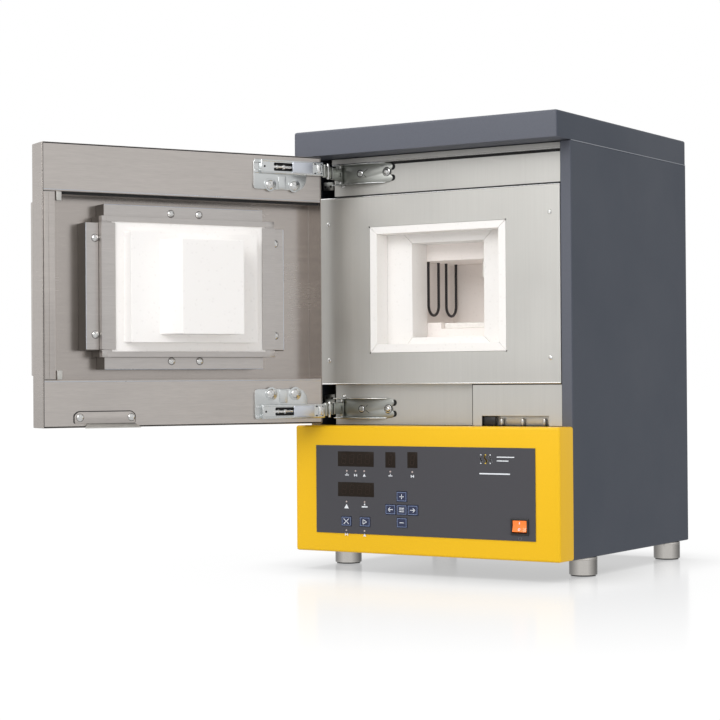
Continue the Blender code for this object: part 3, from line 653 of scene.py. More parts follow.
def makeConsole():
    s = consoleSettings
    shape = bmesh.new()
    w = s["halfWidth"]
    verts = addBlock(shape, (-w, s["front"], s["bottom"]), (w, s["back"], s["top"]))
    edges = [edge for edge in edgesOf(verts)
             if min(vert.co.y for vert in edge.verts) < s["front"] + 1]
    roundOff(shape, edges, s["corner"], 5)
    shape.faces.ensure_lookup_table()
    rear = max(shape.faces, key=lambda face: face.calc_center_median().y)
    bmesh.ops.inset_region(shape, faces=[rear], thickness=s["wall"], use_even_offset=True)
    hollow = bmesh.ops.extrude_face_region(shape, geom=[rear])["geom"]
    bmesh.ops.translate(shape, vec=(0, s["front"] - s["back"] + s["wall"], 0),
                        verts=[item for item in hollow if isinstance(item, bmesh.types.BMVert)])
    bmesh.ops.delete(shape, geom=[rear], context="FACES_ONLY")
    bmesh.ops.recalc_face_normals(shape, faces=shape.faces)
    cutter = bmesh.new()
    for left, right, low, high in (s["boardWindow"], s["switchHole"]):
        addBlock(cutter, (left, s["front"] - 5, low), (right, s["front"] + 5, high))
    shell = finishPiece("console_housing", carved(shape, cutter), yellowPaint)
    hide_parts("console_shell")


makeConsole()
dress("control_plate", foilGrey, 0.25)
dress("controller_board", boardGreen)
dress("switch_bezel", blackPlastic, 0.25)

plateFace = -37.1

# each pane is (left, right, bottom, top, figures); figure sizes are shares of the pane
displaySettings = {"panes": [(-124.0, -70.0, 133.0, 152.0, 4), (-124.0, -70.0, 95.0, 113.0, 4),
                             (-52.7, -38.0, 132.5, 152.0, 1), (-20.4, -5.8, 132.7, 152.5, 1)],
                   "figureWide": 0.52, "widest": 7.0, "figureHigh": 0.62, "bar": 0.09, "lean": 0.12}


def addDigit(shape, x, z, wide, high, face):
    # an unlit seven-segment figure, leaning a little
    s = displaySettings
    bar = high * s["bar"]
    w, h = wide / 2, high / 2
    spots = [(-w, -h, w, -h), (-w, 0, w, 0), (-w, h, w, h), (-w, -h, -w, 0), (w, -h, w, 0),
             (-w, 0, -w, h), (w, 0, w, h)]
    for ax, az, bx, bz in spots:
        along = Vector((bx - ax, bz - az)).normalized()
        across = Vector((-along.y, along.x)) * bar / 2
        a = Vector((ax, az)) + along * bar * 0.7
        b = Vector((bx, bz)) - along * bar * 0.7
        ring = [a + across, b + across, b + along * bar / 2, b - across, a - across,
                a - along * bar / 2]
        outline = [(x + p.x + p.y * s["lean"], z + p.y) for p in ring]
        addPrism(shape, outline, face, face - 0.05, "Y")


def makeDisplays():
    s = displaySettings
    panes, ink = bmesh.new(), bmesh.new()
    for left, right, low, high, figures in s["panes"]:
        addBlock(panes, (left, plateFace - 0.25, low), (right, plateFace - 0.02, high), 0.1, 2)
        step = (right - left) / (figures + 0.6)
        wide, tall = min(step * s["figureWide"], s["widest"]), (high - low) * s["figureHigh"]
        for number in range(figures):
            x = left + step * (number + 0.8)
            addDigit(ink, x, (low + high) / 2, wide, tall, plateFace - 0.26)
    finishPiece("display_windows", panes, displayGlass)
    finishPiece("display_figures", ink, displayInk, smooth=20)


makeDisplays()

lampSettings = {"radius": 1.15, "height": 0.35, "markDrop": 4.0, "markSize": 1.35, "bigSize": 2.1,
                "bigMarks": (5, 6), "spots": [(-110.5, 127.4), (-97.3, 127.4), (-84.2, 127.5),
                                              (-45.5, 127.6), (-13.3, 127.7), (-111.3, 88.4),
                                              (-84.0, 88.5), (-111.6, 52.1), (-84.3, 52.1)]}

# pictograms as bars of (left, bottom, right, top); the third is a triangle
lampMarks = [[(-2.1, -0.4, 2.1, 0.4), (-0.4, 0.9, 0.4, 1.9)],
             [(-1.7, -1.2, -0.9, 1.2), (0.9, -1.2, 1.7, 1.2), (-0.8, -0.35, 0.8, 0.35)],
             [(-1.7, -1.2), (1.7, -1.2), (0, 1.5)]]


def makeLamps():
    s = lampSettings
    lamps, marks = bmesh.new(), bmesh.new()
    face, back = plateFace - 0.07, plateFace - 0.02
    for number, (x, z) in enumerate(s["spots"]):
        addRod(lamps, (x, back, z), s["radius"], -s["height"], "Y", 20, 0.12)
        size = s["bigSize"] if number in s["bigMarks"] else s["markSize"]
        z -= s["markDrop"] + size
        mark = lampMarks[number % 3]
        if len(mark[0]) == 2:
            addPrism(marks, [(x + a * size, z + b * size) for a, b in mark], back, face, "Y")
            continue
        for left, low, right, high in mark:
            addBlock(marks, (x + left * size, face, z + low * size),
                     (x + right * size, back, z + high * size))
    finishPiece("lamp_dots", lamps, lampLens)
    finishPiece("lamp_marks", marks, printWhite, smooth=20)


makeLamps()


# keys: the raised pads stay from the frame; each gets an outline frame and a plain symbol

keySymbols = {
    "key_tools": [((-3.6, 3.0), (3.4, -3.0)), ((3.6, 3.0), (-3.4, -3.0))],
    "key_start": [((-2.6, -3.0), (-2.6, 3.0)), ((-2.6, 3.0), (3.0, 0.0)),
                  ((3.0, 0.0), (-2.6, -3.0))],
    "key_plus": [((-2.6, 0.0), (2.6, 0.0)), ((0.0, -2.6), (0.0, 2.6))],
    "key_left": [((-3.4, 0.0), (3.4, 0.0)), ((-3.4, 0.0), (-0.8, 2.2)),
                 ((-3.4, 0.0), (-0.8, -2.2))],
    "key_program": [((-3.2, 2.2), (3.2, 2.2)), ((-3.2, 0.0), (3.2, 0.0)),
                    ((-3.2, -2.2), (3.2, -2.2))],
    "key_right": [((-3.4, 0.0), (3.4, 0.0)), ((3.4, 0.0), (0.8, 2.2)), ((3.4, 0.0), (0.8, -2.2))],
    "key_minus": [((-2.6, 0.0), (2.6, 0.0))],
}


def addStroke(shape, start, end, width, face, thick=0.08):
    start, end = Vector(start), Vector(end)
    along = (end - start).normalized()
    across = Vector((-along.y, along.x)) * width / 2
    reach = along * width / 2
    ring = [start - reach + across, end + reach + across, end + reach - across,
            start - reach - across]
    addPrism(shape, [(p.x, p.y) for p in ring], face, face - thick, "Y")


keySettings = {"stroke": 0.8, "inset": 0.8, "line": 0.55, "thick": 0.07, "soften": 0.25}


def makeKeyFaces():
    s = keySettings
    toLocal = cabinetPlace.inverted()
    for keyName, strokes in keySymbols.items():
        low, high = [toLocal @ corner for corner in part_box(keyName)]
        middle = Vector(((low.x + high.x) / 2, (low.z + high.z) / 2))
        face = low.y - 0.02
        symbol = bmesh.new()
        for start, end in strokes:
            addStroke(symbol, Vector(start) + middle, Vector(end) + middle, s["stroke"], face)
        finishPiece(keyName + "_symbol", symbol, printWhite, keyName, smooth=20)
        line = bmesh.new()
        inset, width, front = s["inset"], s["line"], face - s["thick"]
        left, right, bottom, top = low.x + inset, high.x - inset, low.z + inset, high.z - inset
        addBlocks(line, [((left, front, top - width), (right, face, top)),
                         ((left, front, bottom), (right, face, bottom + width)),
                         ((left, front, bottom + width), (left + width, face, top - width)),
                         ((right - width, front, bottom + width), (right, face, top - width))])
        finishPiece(keyName + "_outline", line, keyLine, keyName, smooth=20)
        dress(keyName, keyNavy, s["soften"])


makeKeyFaces()


# switch rocker: a hollowed face with soft edges

rockerSettings = {"centre": (137.0, -33.0, 65.0), "halfWidth": 9.5, "halfHeight": 6.9,
                  "front": -6.6, "dip": 1.3, "back": 4.0, "steps": 12, "bar": (2.4, 5.2),
                  "ringDrop": 3.8, "ring": (1.6, 1.0)}


def makeRocker():
    s = rockerSettings
    x, y, z = s["centre"]
    shape = bmesh.new()
    points = []
    for step in range(s["steps"] + 1):
        part = step / s["steps"] * 2 - 1
        dip = s["dip"] * (1 - part * part)
        points.append((y + s["front"] + dip, z + part * s["halfHeight"]))
    points += [(y + s["back"], z + s["halfHeight"]), (y + s["back"], z - s["halfHeight"])]
    addPrism(shape, points, x - s["halfWidth"], x + s["halfWidth"], "X", 0.7, 3)
    rocker = finishPiece("rocker_lens", shape, orangeLens, "power_rocker", 25)
    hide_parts("power_rocker")
    marks, cutter = bmesh.new(), bmesh.new()
    face = y + s["front"] + s["dip"] - 0.75
    (low, high), (outer, inner) = s["bar"], s["ring"]
    addBlock(marks, (x - 0.5, face, z + low), (x + 0.5, face + 1.0, z + high))
    addRod(marks, (x, face, z - s["ringDrop"]), outer, 1.0, "Y", 28)
    addRod(cutter, (x, face - 1, z - s["ringDrop"]), inner, 4.0, "Y", 28)
    marks = carved(marks, cutter)
    finishPiece("rocker_marks", marks, printWhite, "power_rocker", 25)


makeRocker()


# a plain heat pictogram with rules as (left, right, bottom, height), and a ring below the switch
panelMarkSettings = {"x": 84.0, "z": 145.5, "rise": 10.0, "gap": 6.5, "wave": 1.5, "width": 1.5,
                     "steps": 10, "rules": ((106, 130, 147.6, 1.2), (106, 122, 143.0, 1.2),
                                            (82, 124, 127.0, 1.6)),
                     "ring": (137, 50.8), "ringRadius": 1.9, "ringWidth": 0.5, "ringSides": 16}


def makePanelMarks():
    s = panelMarkSettings
    face = plateFace - 0.02
    parts = [step / s["steps"] for step in range(s["steps"] + 1)]
    for wave, finish in enumerate((printWhite, printYellow, printWhite)):
        marks = bmesh.new()
        left = s["x"] + wave * s["gap"]
        spots = [Vector((left + s["wave"] * math.sin(part * math.tau),
                         s["z"] + s["rise"] * (part - 0.5))) for part in parts]
        for start, end in zip(spots, spots[1:]):
            addStroke(marks, start, end, s["width"], face, 0.06)
        finishPiece(f"heat_wave_{wave + 1}", marks, finish, smooth=20)
    rule = bmesh.new()
    for left, right, z, tall in s["rules"]:
        addBlock(rule, (left, face - 0.05, z), (right, face, z + tall))
    finishPiece("rating_rules", rule, printWhite, smooth=20)
    ring = bmesh.new()
    x, z = s["ring"]
    turns = [step / s["ringSides"] * math.tau for step in range(s["ringSides"] + 1)]
    spots = [Vector((x + s["ringRadius"] * math.cos(turn), z + s["ringRadius"] * math.sin(turn)))
             for turn in turns]
    for start, end in zip(spots, spots[1:]):
        addStroke(ring, start, end, s["ringWidth"], face, 0.05)
    finishPiece("switch_mark", ring, printPale, smooth=20)


makePanelMarks()
print("console and controls made")


# front rails, latch bay and the panel around the mouth

for name in ("upper_front_rail", "lower_front_rail", "latch_plate"):
    dress(name, stainlessFront, 0.35)
dress("front_panel", stainlessFront)
dress("mains_inlet", blackPlastic, 0.3)
dress("transformer", coreSteel, 0.3)
dress("insulation_casing", stainlessPlate)

# each screw is (x, depth, height, radius, turn)
frontScrews = [(-161.0, 0.0, 268.0, 2.9, -146), (-161.0, 0.0, 444.5, 2.9, -121),
               (161.0, 0.0, 268.0, 2.9, 176), (161.0, 0.0, 444.5, 2.9, 201),
               (-147.5, 15.0, 495.0, 2.6, 30), (-147.5, 15.0, 222.0, 2.6, 30)]


def makeFrontScrews():
    shape = bmesh.new()
    for x, y, z, radius, turn in frontScrews:
        addScrew(shape, (x, y, z), radius, "-Y", turn)
    finishPiece("front_screws", shape, brightSteel)


makeFrontScrews()

# turned sheet edges as rods of brighter steel, a painted highlight; the seams below them get dark
# strips, a painted shadow
frontEdgeSettings = {
    "rods": [((-174.2, 0.5, 478.0), 0.9, 348.4), ((-174.2, 0.5, 237.5), 0.9, 348.4),
             ((-160.5, 9.4, 523.0), 0.7, 334.0)],
    "shadowStrips": [((51.4, 1.85, 235.3), (174.5, 2.4, 236.6)), ((50.6, 1.85, 186.0), (51.3, 2.4, 236.6)),
             ((-160.8, 14.86, 478.0), (174.4, 15.0, 482.2)),
             ((-160.8, 14.86, 519.0), (174.4, 15.0, 522.4))]}


def makeFrontEdges():
    s = frontEdgeSettings
    edges, shadowStrips = bmesh.new(), bmesh.new()
    for spot, radius, length in s["rods"]:
        addRod(edges, spot, radius, length, "X", 16)
    finishPiece("front_sheet_edges", edges, brightSteel)
    addBlocks(shadowStrips, s["shadowStrips"])
    finishPiece("front_seam_shadows", shadowStrips, paintedShadeBlack)


makeFrontEdges()

latchSettings = {"slot": (64.0, 157.0), "margin": 6, "plateDepth": (10.8, 12.0),
                 "plate": (185.0, 205.0),
                 "posts": (89.0, 118.0, 148.0), "radius": 2.4, "depth": 8.0, "post": (184.9, 194.0),
                 "switchWide": 17, "switchDepth": (5.4, 10.4), "switch": (184.8, 196.6)}


def makeLatchBay():
    s = latchSettings
    left, right = s["slot"][0] - s["margin"], s["slot"][1] + s["margin"]
    plate, posts, switch = bmesh.new(), bmesh.new(), bmesh.new()
    (front, back), (low, high) = s["plateDepth"], s["plate"]
    addBlock(plate, (left, front, low), (right, back, high), 0.3, 2)
    finishPiece("latch_back_plate", plate, stainlessFront)
    low, high = s["post"]
    for x in s["posts"]:
        addRod(posts, (x, s["depth"], low), s["radius"], high - low, "Z", 28, 1.2)
    finishPiece("latch_posts", posts, stainlessFront)
    (front, back), (low, high) = s["switchDepth"], s["switch"]
    addBlock(switch, (left, front, low), (s["slot"][0] + s["switchWide"], back, high), 0.3, 2)
    finishPiece("latch_switch_body", switch, blackPlastic)


makeLatchBay()


# firing chamber

for side in ("top", "bottom", "left", "right"):
    dress(f"mouth_bar_{side}", fibreWhite, 0.7, 3)
for name in ("floor", "roof", "wall_left", "wall_right", "wall_rear"):
    dress(f"chamber_{name}", fibreFired, 0.5)
dress("hearth_plate", hearthCeramic, 0.6)

# four boards mitred round the opening, with a hairline joint between them
throatSettings = {"middle": 2.5, "outerX": 110.0, "outerZ": (262.0, 452.0), "innerX": 52.5,
                  "innerZ": (296.5, 417.0), "depth": (26.0, 63.7), "joint": 0.22, "round": 0.5}


def makeThroat():
    s = throatSettings
    ox, (oz0, oz1) = s["outerX"], s["outerZ"]
    ix, (iz0, iz1) = s["innerX"], s["innerZ"]
    g, middle = s["joint"], s["middle"]
    topX = ix + oz1 - iz1
    lowX = ix + iz0 - oz0
    outlines = [
        [(-ix + g, iz1), (ix - g, iz1), (topX - g, oz1), (-topX + g, oz1)],
        [(-ix + g, iz0), (ix - g, iz0), (lowX - g, oz0), (-lowX + g, oz0)],
        [(ix, iz0 + g), (ix, iz1 - g), (topX + g, oz1), (ox - middle, oz1), (ox - middle, oz0),
         (lowX + g, oz0)],
        [(-ix, iz0 + g), (-ix, iz1 - g), (-topX - g, oz1), (-ox - middle, oz1),
         (-ox - middle, oz0), (-lowX - g, oz0)],
    ]
    shape = bmesh.new()
    for points in outlines:
        outline = [(x + middle, z) for x, z in points]
        addPrism(shape, outline, *s["depth"], "Y", s["round"], 3)
    throat = finishPiece("throat_boards", shape, fibreWhite)
    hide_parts("throat_frame")


makeThroat()

# hairpin elements: two thick leads down from the roof, then the thin hot part and its bend
elementSettings = {"x": (-57.5, 62.5), "y": (92.5, 138.5), "bend": 13.0, "lowest": 326.5,
                   "lead": 2.2, "hot": 1.8, "leadEnd": 399.0, "hotStart": 393.0, "top": 470.0,
                   "bendSteps": 20}


def tubeShape(path, sides=8):
    # path is (point, radius); swept as a curve and made a mesh
    curve = bpy.data.curves.new("tube", "CURVE")
    curve.dimensions = "3D"
    curve.bevel_depth = 1.0
    curve.bevel_resolution = sides
    curve.use_fill_caps = True
    spline = curve.splines.new("POLY")
    spline.points.add(len(path) - 1)
    for point, (spot, radius) in zip(spline.points, path):
        point.co = (*spot, 1)
        point.radius = radius
    holder = bpy.data.objects.new("tube", curve)
    bpy.context.scene.collection.objects.link(holder)
    mesh = meshOf(holder)
    bpy.data.objects.remove(holder)
    bpy.data.curves.remove(curve)
    shape = bmesh.new()
    shape.from_mesh(mesh)
    bpy.data.meshes.remove(mesh)
    bmesh.ops.remove_doubles(shape, verts=shape.verts, dist=0.001)
    bmesh.ops.recalc_face_normals(shape, faces=shape.faces)
    return shape


def makeElements():
    s = elementSettings
    number = 0
    bend, steps, low = s["bend"], s["bendSteps"], s["lowest"] + s["bend"]
    for x in s["x"]:
        for middle in s["y"]:
            number += 1
            front, rear = middle - bend, middle + bend
            path = [((x, front, s["top"]), s["lead"]), ((x, front, s["leadEnd"]), s["lead"]),
                    ((x, front, s["hotStart"]), s["hot"]), ((x, front, low), s["hot"])]
            for step in range(1, steps):
                angle = math.pi * step / steps
                spot = (x, middle - bend * math.cos(angle), low - bend * math.sin(angle))
                path.append((spot, s["hot"]))
            path += [((x, rear, low), s["hot"]), ((x, rear, s["hotStart"]), s["hot"]),
                     ((x, rear, s["leadEnd"]), s["lead"]), ((x, rear, s["top"]), s["lead"])]
            element = finishPiece(f"hairpin_{number}", tubeShape(path), elementSkin)
            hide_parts(f"heating_element_{number}")


makeElements()


probeSettings = {"spot": (30.1, 74.0, 0), "profile": [
    (0, 478), (7, 478), (7, 456.6), (6.4, 456), (3.2, 455), (3, 454.4), (3, 374.6), (2.6, 373),
    (1.6, 372.2), (0, 372)]}


def makeProbe():
    shape = bmesh.new()
    addSpin(shape, probeSettings["profile"], probeSettings["spot"], 40)
    probe = finishPiece("probe_tube", shape, tubeCeramic)
    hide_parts("thermocouple")


makeProbe()
print("front and firing chamber made")


# door

dress("door_shell", stainlessFloor, 0.3)
dress("door_inner_frame", stainlessDoor, 0.4)
dress("door_handle", stainlessDoor, 0.3)
# the tray's sides are darkened so the recess floor mirrors them dark: painted shade
dress("insulation_tray", trayShade, 0.4)
dress("door_insulation", fibrePlug, 1.1, 3)
for side in ("free_side", "hinge_side", "top", "bottom"):
    dress(f"plug_bracket_{side}", stainlessDull, 0.3)


# the screws of the door's lining as (x positions, heights), each over a dark ring of painted shadow
doorScrewSettings = {
    "radius": 4.5, "ring": 4.8, "flat": -9.5, "corners": ((-124.5, 118.5), (299.0, 415.5)),
    "middles": ((-19.0, 19.0), (267.0, 448.0)), "low": (142.0, 76.0), "lowHeight": 199.6}


def makeDoorScrews():
    s = doorScrewSettings
    shape, shadowRings = bmesh.new(), bmesh.new()

    def screwWithShadowRing(x, y, z, turn):
        addScrew(shape, (x, y, z), s["radius"], "+Y", turn)
        addRod(shadowRings, (x, y, z), s["ring"], 0.1, "Y", 32)

    for x in s["corners"][0]:
        for z in s["corners"][1]:
            screwWithShadowRing(x, s["flat"], z, 10 + z)
    for x in s["middles"][0]:
        for z in s["middles"][1]:
            screwWithShadowRing(x, s["flat"], z, 25 + z + x)
    for x in s["low"]:
        addScrew(shape, (x, -0.8, s["lowHeight"]), s["radius"], "+Y", x, 0.8)
        addRod(shadowRings, (x, -0.85, s["lowHeight"]), s["ring"], 0.12, "Y", 32)
    finishPiece("door_screw_shadow_rings", shadowRings, paintedShadeBlack, "door")
    finishPiece("door_screws", shape, brightSteel, "door")


makeDoorScrews()

# sprung strip down the door's free side and its two hold-down tabs; dark strips of painted shadow
# along the seams round it and under the upper rail, and brighter rods on the rail folds as painted
# highlights
doorStripSettings = {
    "bars": [((173.0, -2.6, 245.8), (179.6, -2.0, 468.2), 0.25),
             ((180.2, -2.6, 245.8), (185.6, -1.7, 468.2), 0.35)],
    "tabs": [((163.5, -6.5, 245.2), (170.0, -1.9, 256.2)),
             ((163.5, -6.5, 457.8), (170.0, -1.9, 468.8))],
    "shadowStrips": [((186.2, -2.55, 188.5), (187.0, -2.44, 526.5)),
             ((171.6, -2.55, 468.6), (186.2, -2.44, 469.5)),
             ((171.6, -2.55, 244.5), (186.2, -2.44, 245.4)),
             ((-186.0, -7.2, 466.0), (163.0, -6.4, 469.3)),
             ((-186.5, -2.55, 525.6), (186.5, -2.44, 526.9)),
             ((-186.5, -2.55, 188.1), (186.5, -2.44, 189.0))],
    "folds": (471.2, 242.8), "foldStart": (-185.0, -2.35), "foldRadius": 0.5, "foldLength": 371.0}


def makeDoorStrip():
    s = doorStripSettings
    strip, tabs, shadowStrips, folds = bmesh.new(), bmesh.new(), bmesh.new(), bmesh.new()
    for low, high, roundBy in s["bars"]:
        addBlock(strip, low, high, roundBy, 2)
    finishPiece("door_strip", strip, stainlessDoor, "door")
    addBlocks(tabs, s["tabs"], 0.7, 3)
    finishPiece("door_strip_tabs", tabs, stainlessFront, "door")
    addBlocks(shadowStrips, s["shadowStrips"])
    finishPiece("door_shadow_strips", shadowStrips, paintedShadeBlack, "door")
    for z in s["folds"]:
        addRod(folds, (*s["foldStart"], z), s["foldRadius"], s["foldLength"], "X", 12)
    finishPiece("door_rail_folds", folds, satinCap, "door")


makeDoorStrip()

# folded corners close the tray between its clips; the clips' turned edges are rods of brighter
# steel, a painted highlight, and their folds are dark lines, a painted shade
clipSettings = {
    "cornerX": ((-119.3, -106.3), (100.4, 113.3)), "cornerZ": ((271.7, 280.7), (433.3, 442.3)),
    "cornerDepth": (-10.6, -1.2), "upright": (281.5, 152.0), "level": (-106.5, 213.0),
    "uprights": ((-136.2, -9.7), (130.2, -9.7), (-118.6, -0.9), (112.6, -0.9)),
    "levels": ((257.4, -9.7), (456.6, -9.7), (273.6, -0.9), (440.4, -0.9)), "edgeRadius": 0.5,
    "foldX": (-120.4, 113.6), "foldZ": (271.6, 441.6), "foldWide": 0.8, "foldDepth": (-9.55, -9.42),
    "foldUpright": (281.4, 433.6), "foldLevel": (-106.6, 106.6)}


def makeClipDetails():
    s = clipSettings
    corners, edges, folds = bmesh.new(), bmesh.new(), bmesh.new()
    front, back = s["cornerDepth"]
    for left, right in s["cornerX"]:
        for low, high in s["cornerZ"]:
            addBlock(corners, (left, front, low), (right, back, high), 0.5, 2)
    finishPiece("tray_corners", corners, stainlessDull, "door")
    start, length = s["upright"]
    for x, y in s["uprights"]:
        addRod(edges, (x, y, start), s["edgeRadius"], length, "Z", 12)
    start, length = s["level"]
    for z, y in s["levels"]:
        addRod(edges, (start, y, z), s["edgeRadius"], length, "X", 12)
    finishPiece("clip_edges", edges, satinCap, "door")
    (front, back), wide = s["foldDepth"], s["foldWide"]
    low, high = s["foldUpright"]
    for x in s["foldX"]:
        addBlock(folds, (x, front, low), (x + wide, back, high))
    left, right = s["foldLevel"]
    for z in s["foldZ"]:
        addBlock(folds, (left, front, z), (right, back, z + wide))
    finishPiece("clip_folds", folds, trayShade, "door")


makeClipDetails()


def softCorners(points, radius, steps=5):
    # the outline again, with each corner replaced by a short arc
    ring = [Vector(point) for point in points]
    soft = []
    for before, corner, after in zip(ring[-1:] + ring[:-1], ring, ring[1:] + ring[:1]):
        reach = min(radius, (before - corner).length / 2.1, (after - corner).length / 2.1)
        start = corner + (before - corner).normalized() * reach
        end = corner + (after - corner).normalized() * reach
        for step in range(steps + 1):
            t = step / steps
            soft.append(tuple(start * (1 - t) ** 2 + corner * 2 * t * (1 - t) + end * t * t))
    return soft


latchTongueSettings = {"plate": (71.0, 149.0, 192.6, 206.5), "corner": 2.5, "chamfer": (5, 4),
                       "gap": 0.9, "gapTop": 1.0, "flap": (65.8, 138.0), "flapSlope": 5,
                       "flapThick": 1.2, "bend": 191.6, "tip": 186.6, "reach": 4.8, "face": -2.1,
                       "thick": 1.3}


def tongueOutline(left, right, low, high, across, down):
    # a plate with its two upper corners cut off
    return softCorners([(left, low), (right, low), (right, high - down), (right - across, high),
                        (left + across, high), (left, high - down)], latchTongueSettings["corner"])


def makeLatchTongue():
    s = latchTongueSettings
    left, right, low, high = s["plate"]
    across, down = s["chamfer"]
    face, gap, top = s["face"], s["gap"], s["gapTop"]
    shape, shadow, lean = bmesh.new(), bmesh.new(), bmesh.new()
    addPrism(shape, tongueOutline(left, right, low, high, across, down), face, face + s["thick"],
             "Y", 0.3, 2)
    # a dark outline round the plate: painted shadow
    outline = tongueOutline(left - gap, right + gap, low, high + top, across + 0.5, down)
    addPrism(shadow, outline, face - 0.4, face + 0.1, "Y")
    finishPiece("latch_tongue_shadow", shadow, paintedShadeBlack, "door")
    # the flap leans out over the latch bay; its ends slope in towards the plate
    (near, far), slope, root = s["flap"], s["flapSlope"], face + 0.3
    flap = [(near + slope, root), (far - slope, root), (far, s["reach"]), (near, s["reach"])]
    addPrism(lean, flap, 0, s["flapThick"], "Z", 0.3, 2)
    for vert in lean.verts:
        along = (vert.co.y - face) / (s["reach"] - face)
        vert.co.z += s["bend"] + (s["tip"] - s["bend"]) * along
    finishPiece("latch_tongue_flap", lean, stainlessFront, "door")
    tongue = finishPiece("latch_tongue_plate", shape, stainlessDoor, "door")
    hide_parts("latch_tongue")


makeLatchTongue()


# hinges: pressed and plated; the lower pair mirrors the upper one about its own middle

hingeSettings = {
    "middles": (509.0, 206.0), "up": (1, -1), "names": ("upper", "lower"),
    # door side: mounting plate with its screws, then the arm
    "plate": [(-90, 12), (-165, 12), (-165, -15), (-158, -24.5), (-150, -26), (-90, -26)],
    "plateDepth": (-2.1, 0.4), "plateScrews": ((-113.0, 35), (-147.0, 60)), "screwDrop": 20,
    "ribs": [((-135.5, -124.5), (0.0, 1.7), (-25, -8), 1.2, 4),
             ((-98.5, -91.0), (0.0, 1.5), (6.5, 11.5), 0.7, 3),
             ((-98.5, -91.0), (0.0, 1.5), (-6.0, -1.0), 0.7, 3)],
    "armMiddle": 2.5, "armHalf": 8.8, "arm": (-186.6, -98.0), "armHigh": 6.4,
    "slot": (-142.0, -116.0), "slotHalf": 5.2, "darkHalf": 4.9, "notches": (-175.0, -184.2),
    "notchOut": 6.2, "notchWide": 1.3, "notchHigh": 1.2, "pip": -103.0,
    "shafts": [(-141.2, 3.9, 1.9, 29.0, 24, 0.4), (-131.5, 3.6, 3.3, 3.4, 28, 0.5),
               (-121.5, 3.6, 3.0, 2.4, 28, 0.5)],
    "cap": (-171.0, -142.0), "capHalf": 7.0, "clasp": (-182.6, -177.4), "claspHalf": 5.2,
    # link, modelled folded along the bracket
    "link": [((-151.0, -120.0), (8.3, 12.9), (-8.0, 7.5), 0.8, 3),
             ((-121.0, -98.0), (9.2, 11.8), (-6.5, 8.0), 0.5, 3)],
    "linkEyes": [(-97.5, 10.5, 2.6, (-7.5, 9.0), 28, 0.4),
                 (-149.0, 10.5, 2.9, (-9.0, 10.5), 28, 0.4)],
    "linkPin": (-108.0, 11.0, 1.9, (-9.0, 11.0), 24, 0.5),
    "slits": [((-144.4, -142.8), (12.6, 13.0), (-3.0, 3.0), 0.1),
              ((-120.2, -118.6), (10.5, 12.2), (-7.2, 7.2), 0.1)],
    # cabinet side: web with two lobes at its end, lips with a rolled edge, pin and screws
    "web": [(-158, -12.6), (-79, -12.6), (-73, -11.5), (-70.5, -8), (-71.5, -4.8), (-76.5, -1.5),
            (-76.5, 1.5), (-71.5, 4.8), (-70.5, 8), (-73, 11.5), (-79, 12.6), (-158, 12.6)],
    "lip": [(-158, 14.0), (-158, 4.8), (-112, 5.0), (-94, 8.6), (-83, 13.2), (-81, 14.0)],
    "lipSpan": (11.9, 13.0), "beadOut": 12.65, "beadRadii": (0.75, 0.65), "beadThin": 6,
    "bead": [(-157.5, 4.9), (-140, 4.9), (-125, 4.95), (-112, 5.3), (-103, 6.6), (-94, 8.9),
             (-87, 11.6), (-82.5, 13.4)],
    "bracketPin": (-149.0, 10.5, 1.4, (-12.0, 12.0), 20), "endScrew": -79.8, "midScrew": -120.3,
    "scores": [((-114.5, 2.5), (-108.5, 6.2)), ((-114.0, -1.5), (-111.0, -4.2))],
    "lobe": (-71.6, 7.0, 4.1), "tab": ((-179.0, -163.0), (15.6, 16.6), (-18.0, -7.0), 0.4, 2),
    "tabHoles": (-175.6, -167.4), "tabDrop": 13.0}


# a hinge is (middle, up): its heights count from the middle, and the lower one stands on its head
def spanOf(hinge, low, high):
    middle, up = hinge
    return sorted((middle + up * low, middle + up * high))


def addSlab(shape, hinge, x, y, z, roundBy=0.3, segments=2):
    low, high = spanOf(hinge, *z)
    addBlock(shape, (x[0], y[0], low), (x[1], y[1], high), roundBy, segments)


def addUpright(shape, hinge, x, y, radius, z, sides, roundBy=0.0):
    low, high = spanOf(hinge, *z)
    addRod(shape, (x, y, low), radius, high - low, "Z", sides, roundBy)


def makeHingeArm(hinge, name):
    s = hingeSettings
    am, ah = s["armMiddle"], s["armHalf"]
    left, right = s["arm"]
    low, high = spanOf(hinge, am - ah, am + ah)
    arm, cutter = bmesh.new(), bmesh.new()
    verts = addBlock(arm, (left, 0.0, low), (right, s["armHigh"], high))
    outer = [edge for edge in edgesOf(verts) if min(vert.co.y for vert in edge.verts) > 6 or
             abs(edge.verts[0].co.y - edge.verts[1].co.y) > 1]
    roundOff(arm, outer, 1.0, 3)
    # a raised border round a sunken face
    arm.faces.ensure_lookup_table()
    top = max(arm.faces, key=lambda face: (round(face.calc_center_median().y, 3), face.calc_area()))
    bmesh.ops.inset_region(arm, faces=[top], thickness=1.1, use_even_offset=True)
    bmesh.ops.inset_region(arm, faces=[top], thickness=0.4, depth=-0.7, use_even_offset=True)
    addSlab(cutter, hinge, s["slot"], (1.0, 9.0), (am - s["slotHalf"], am + s["slotHalf"]), 1.2, 3)
    body = finishPiece(f"hinge_arm_body_{name}", carved(arm, cutter), zincPlate, "door")
    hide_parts(f"hinge_arm_{name}")


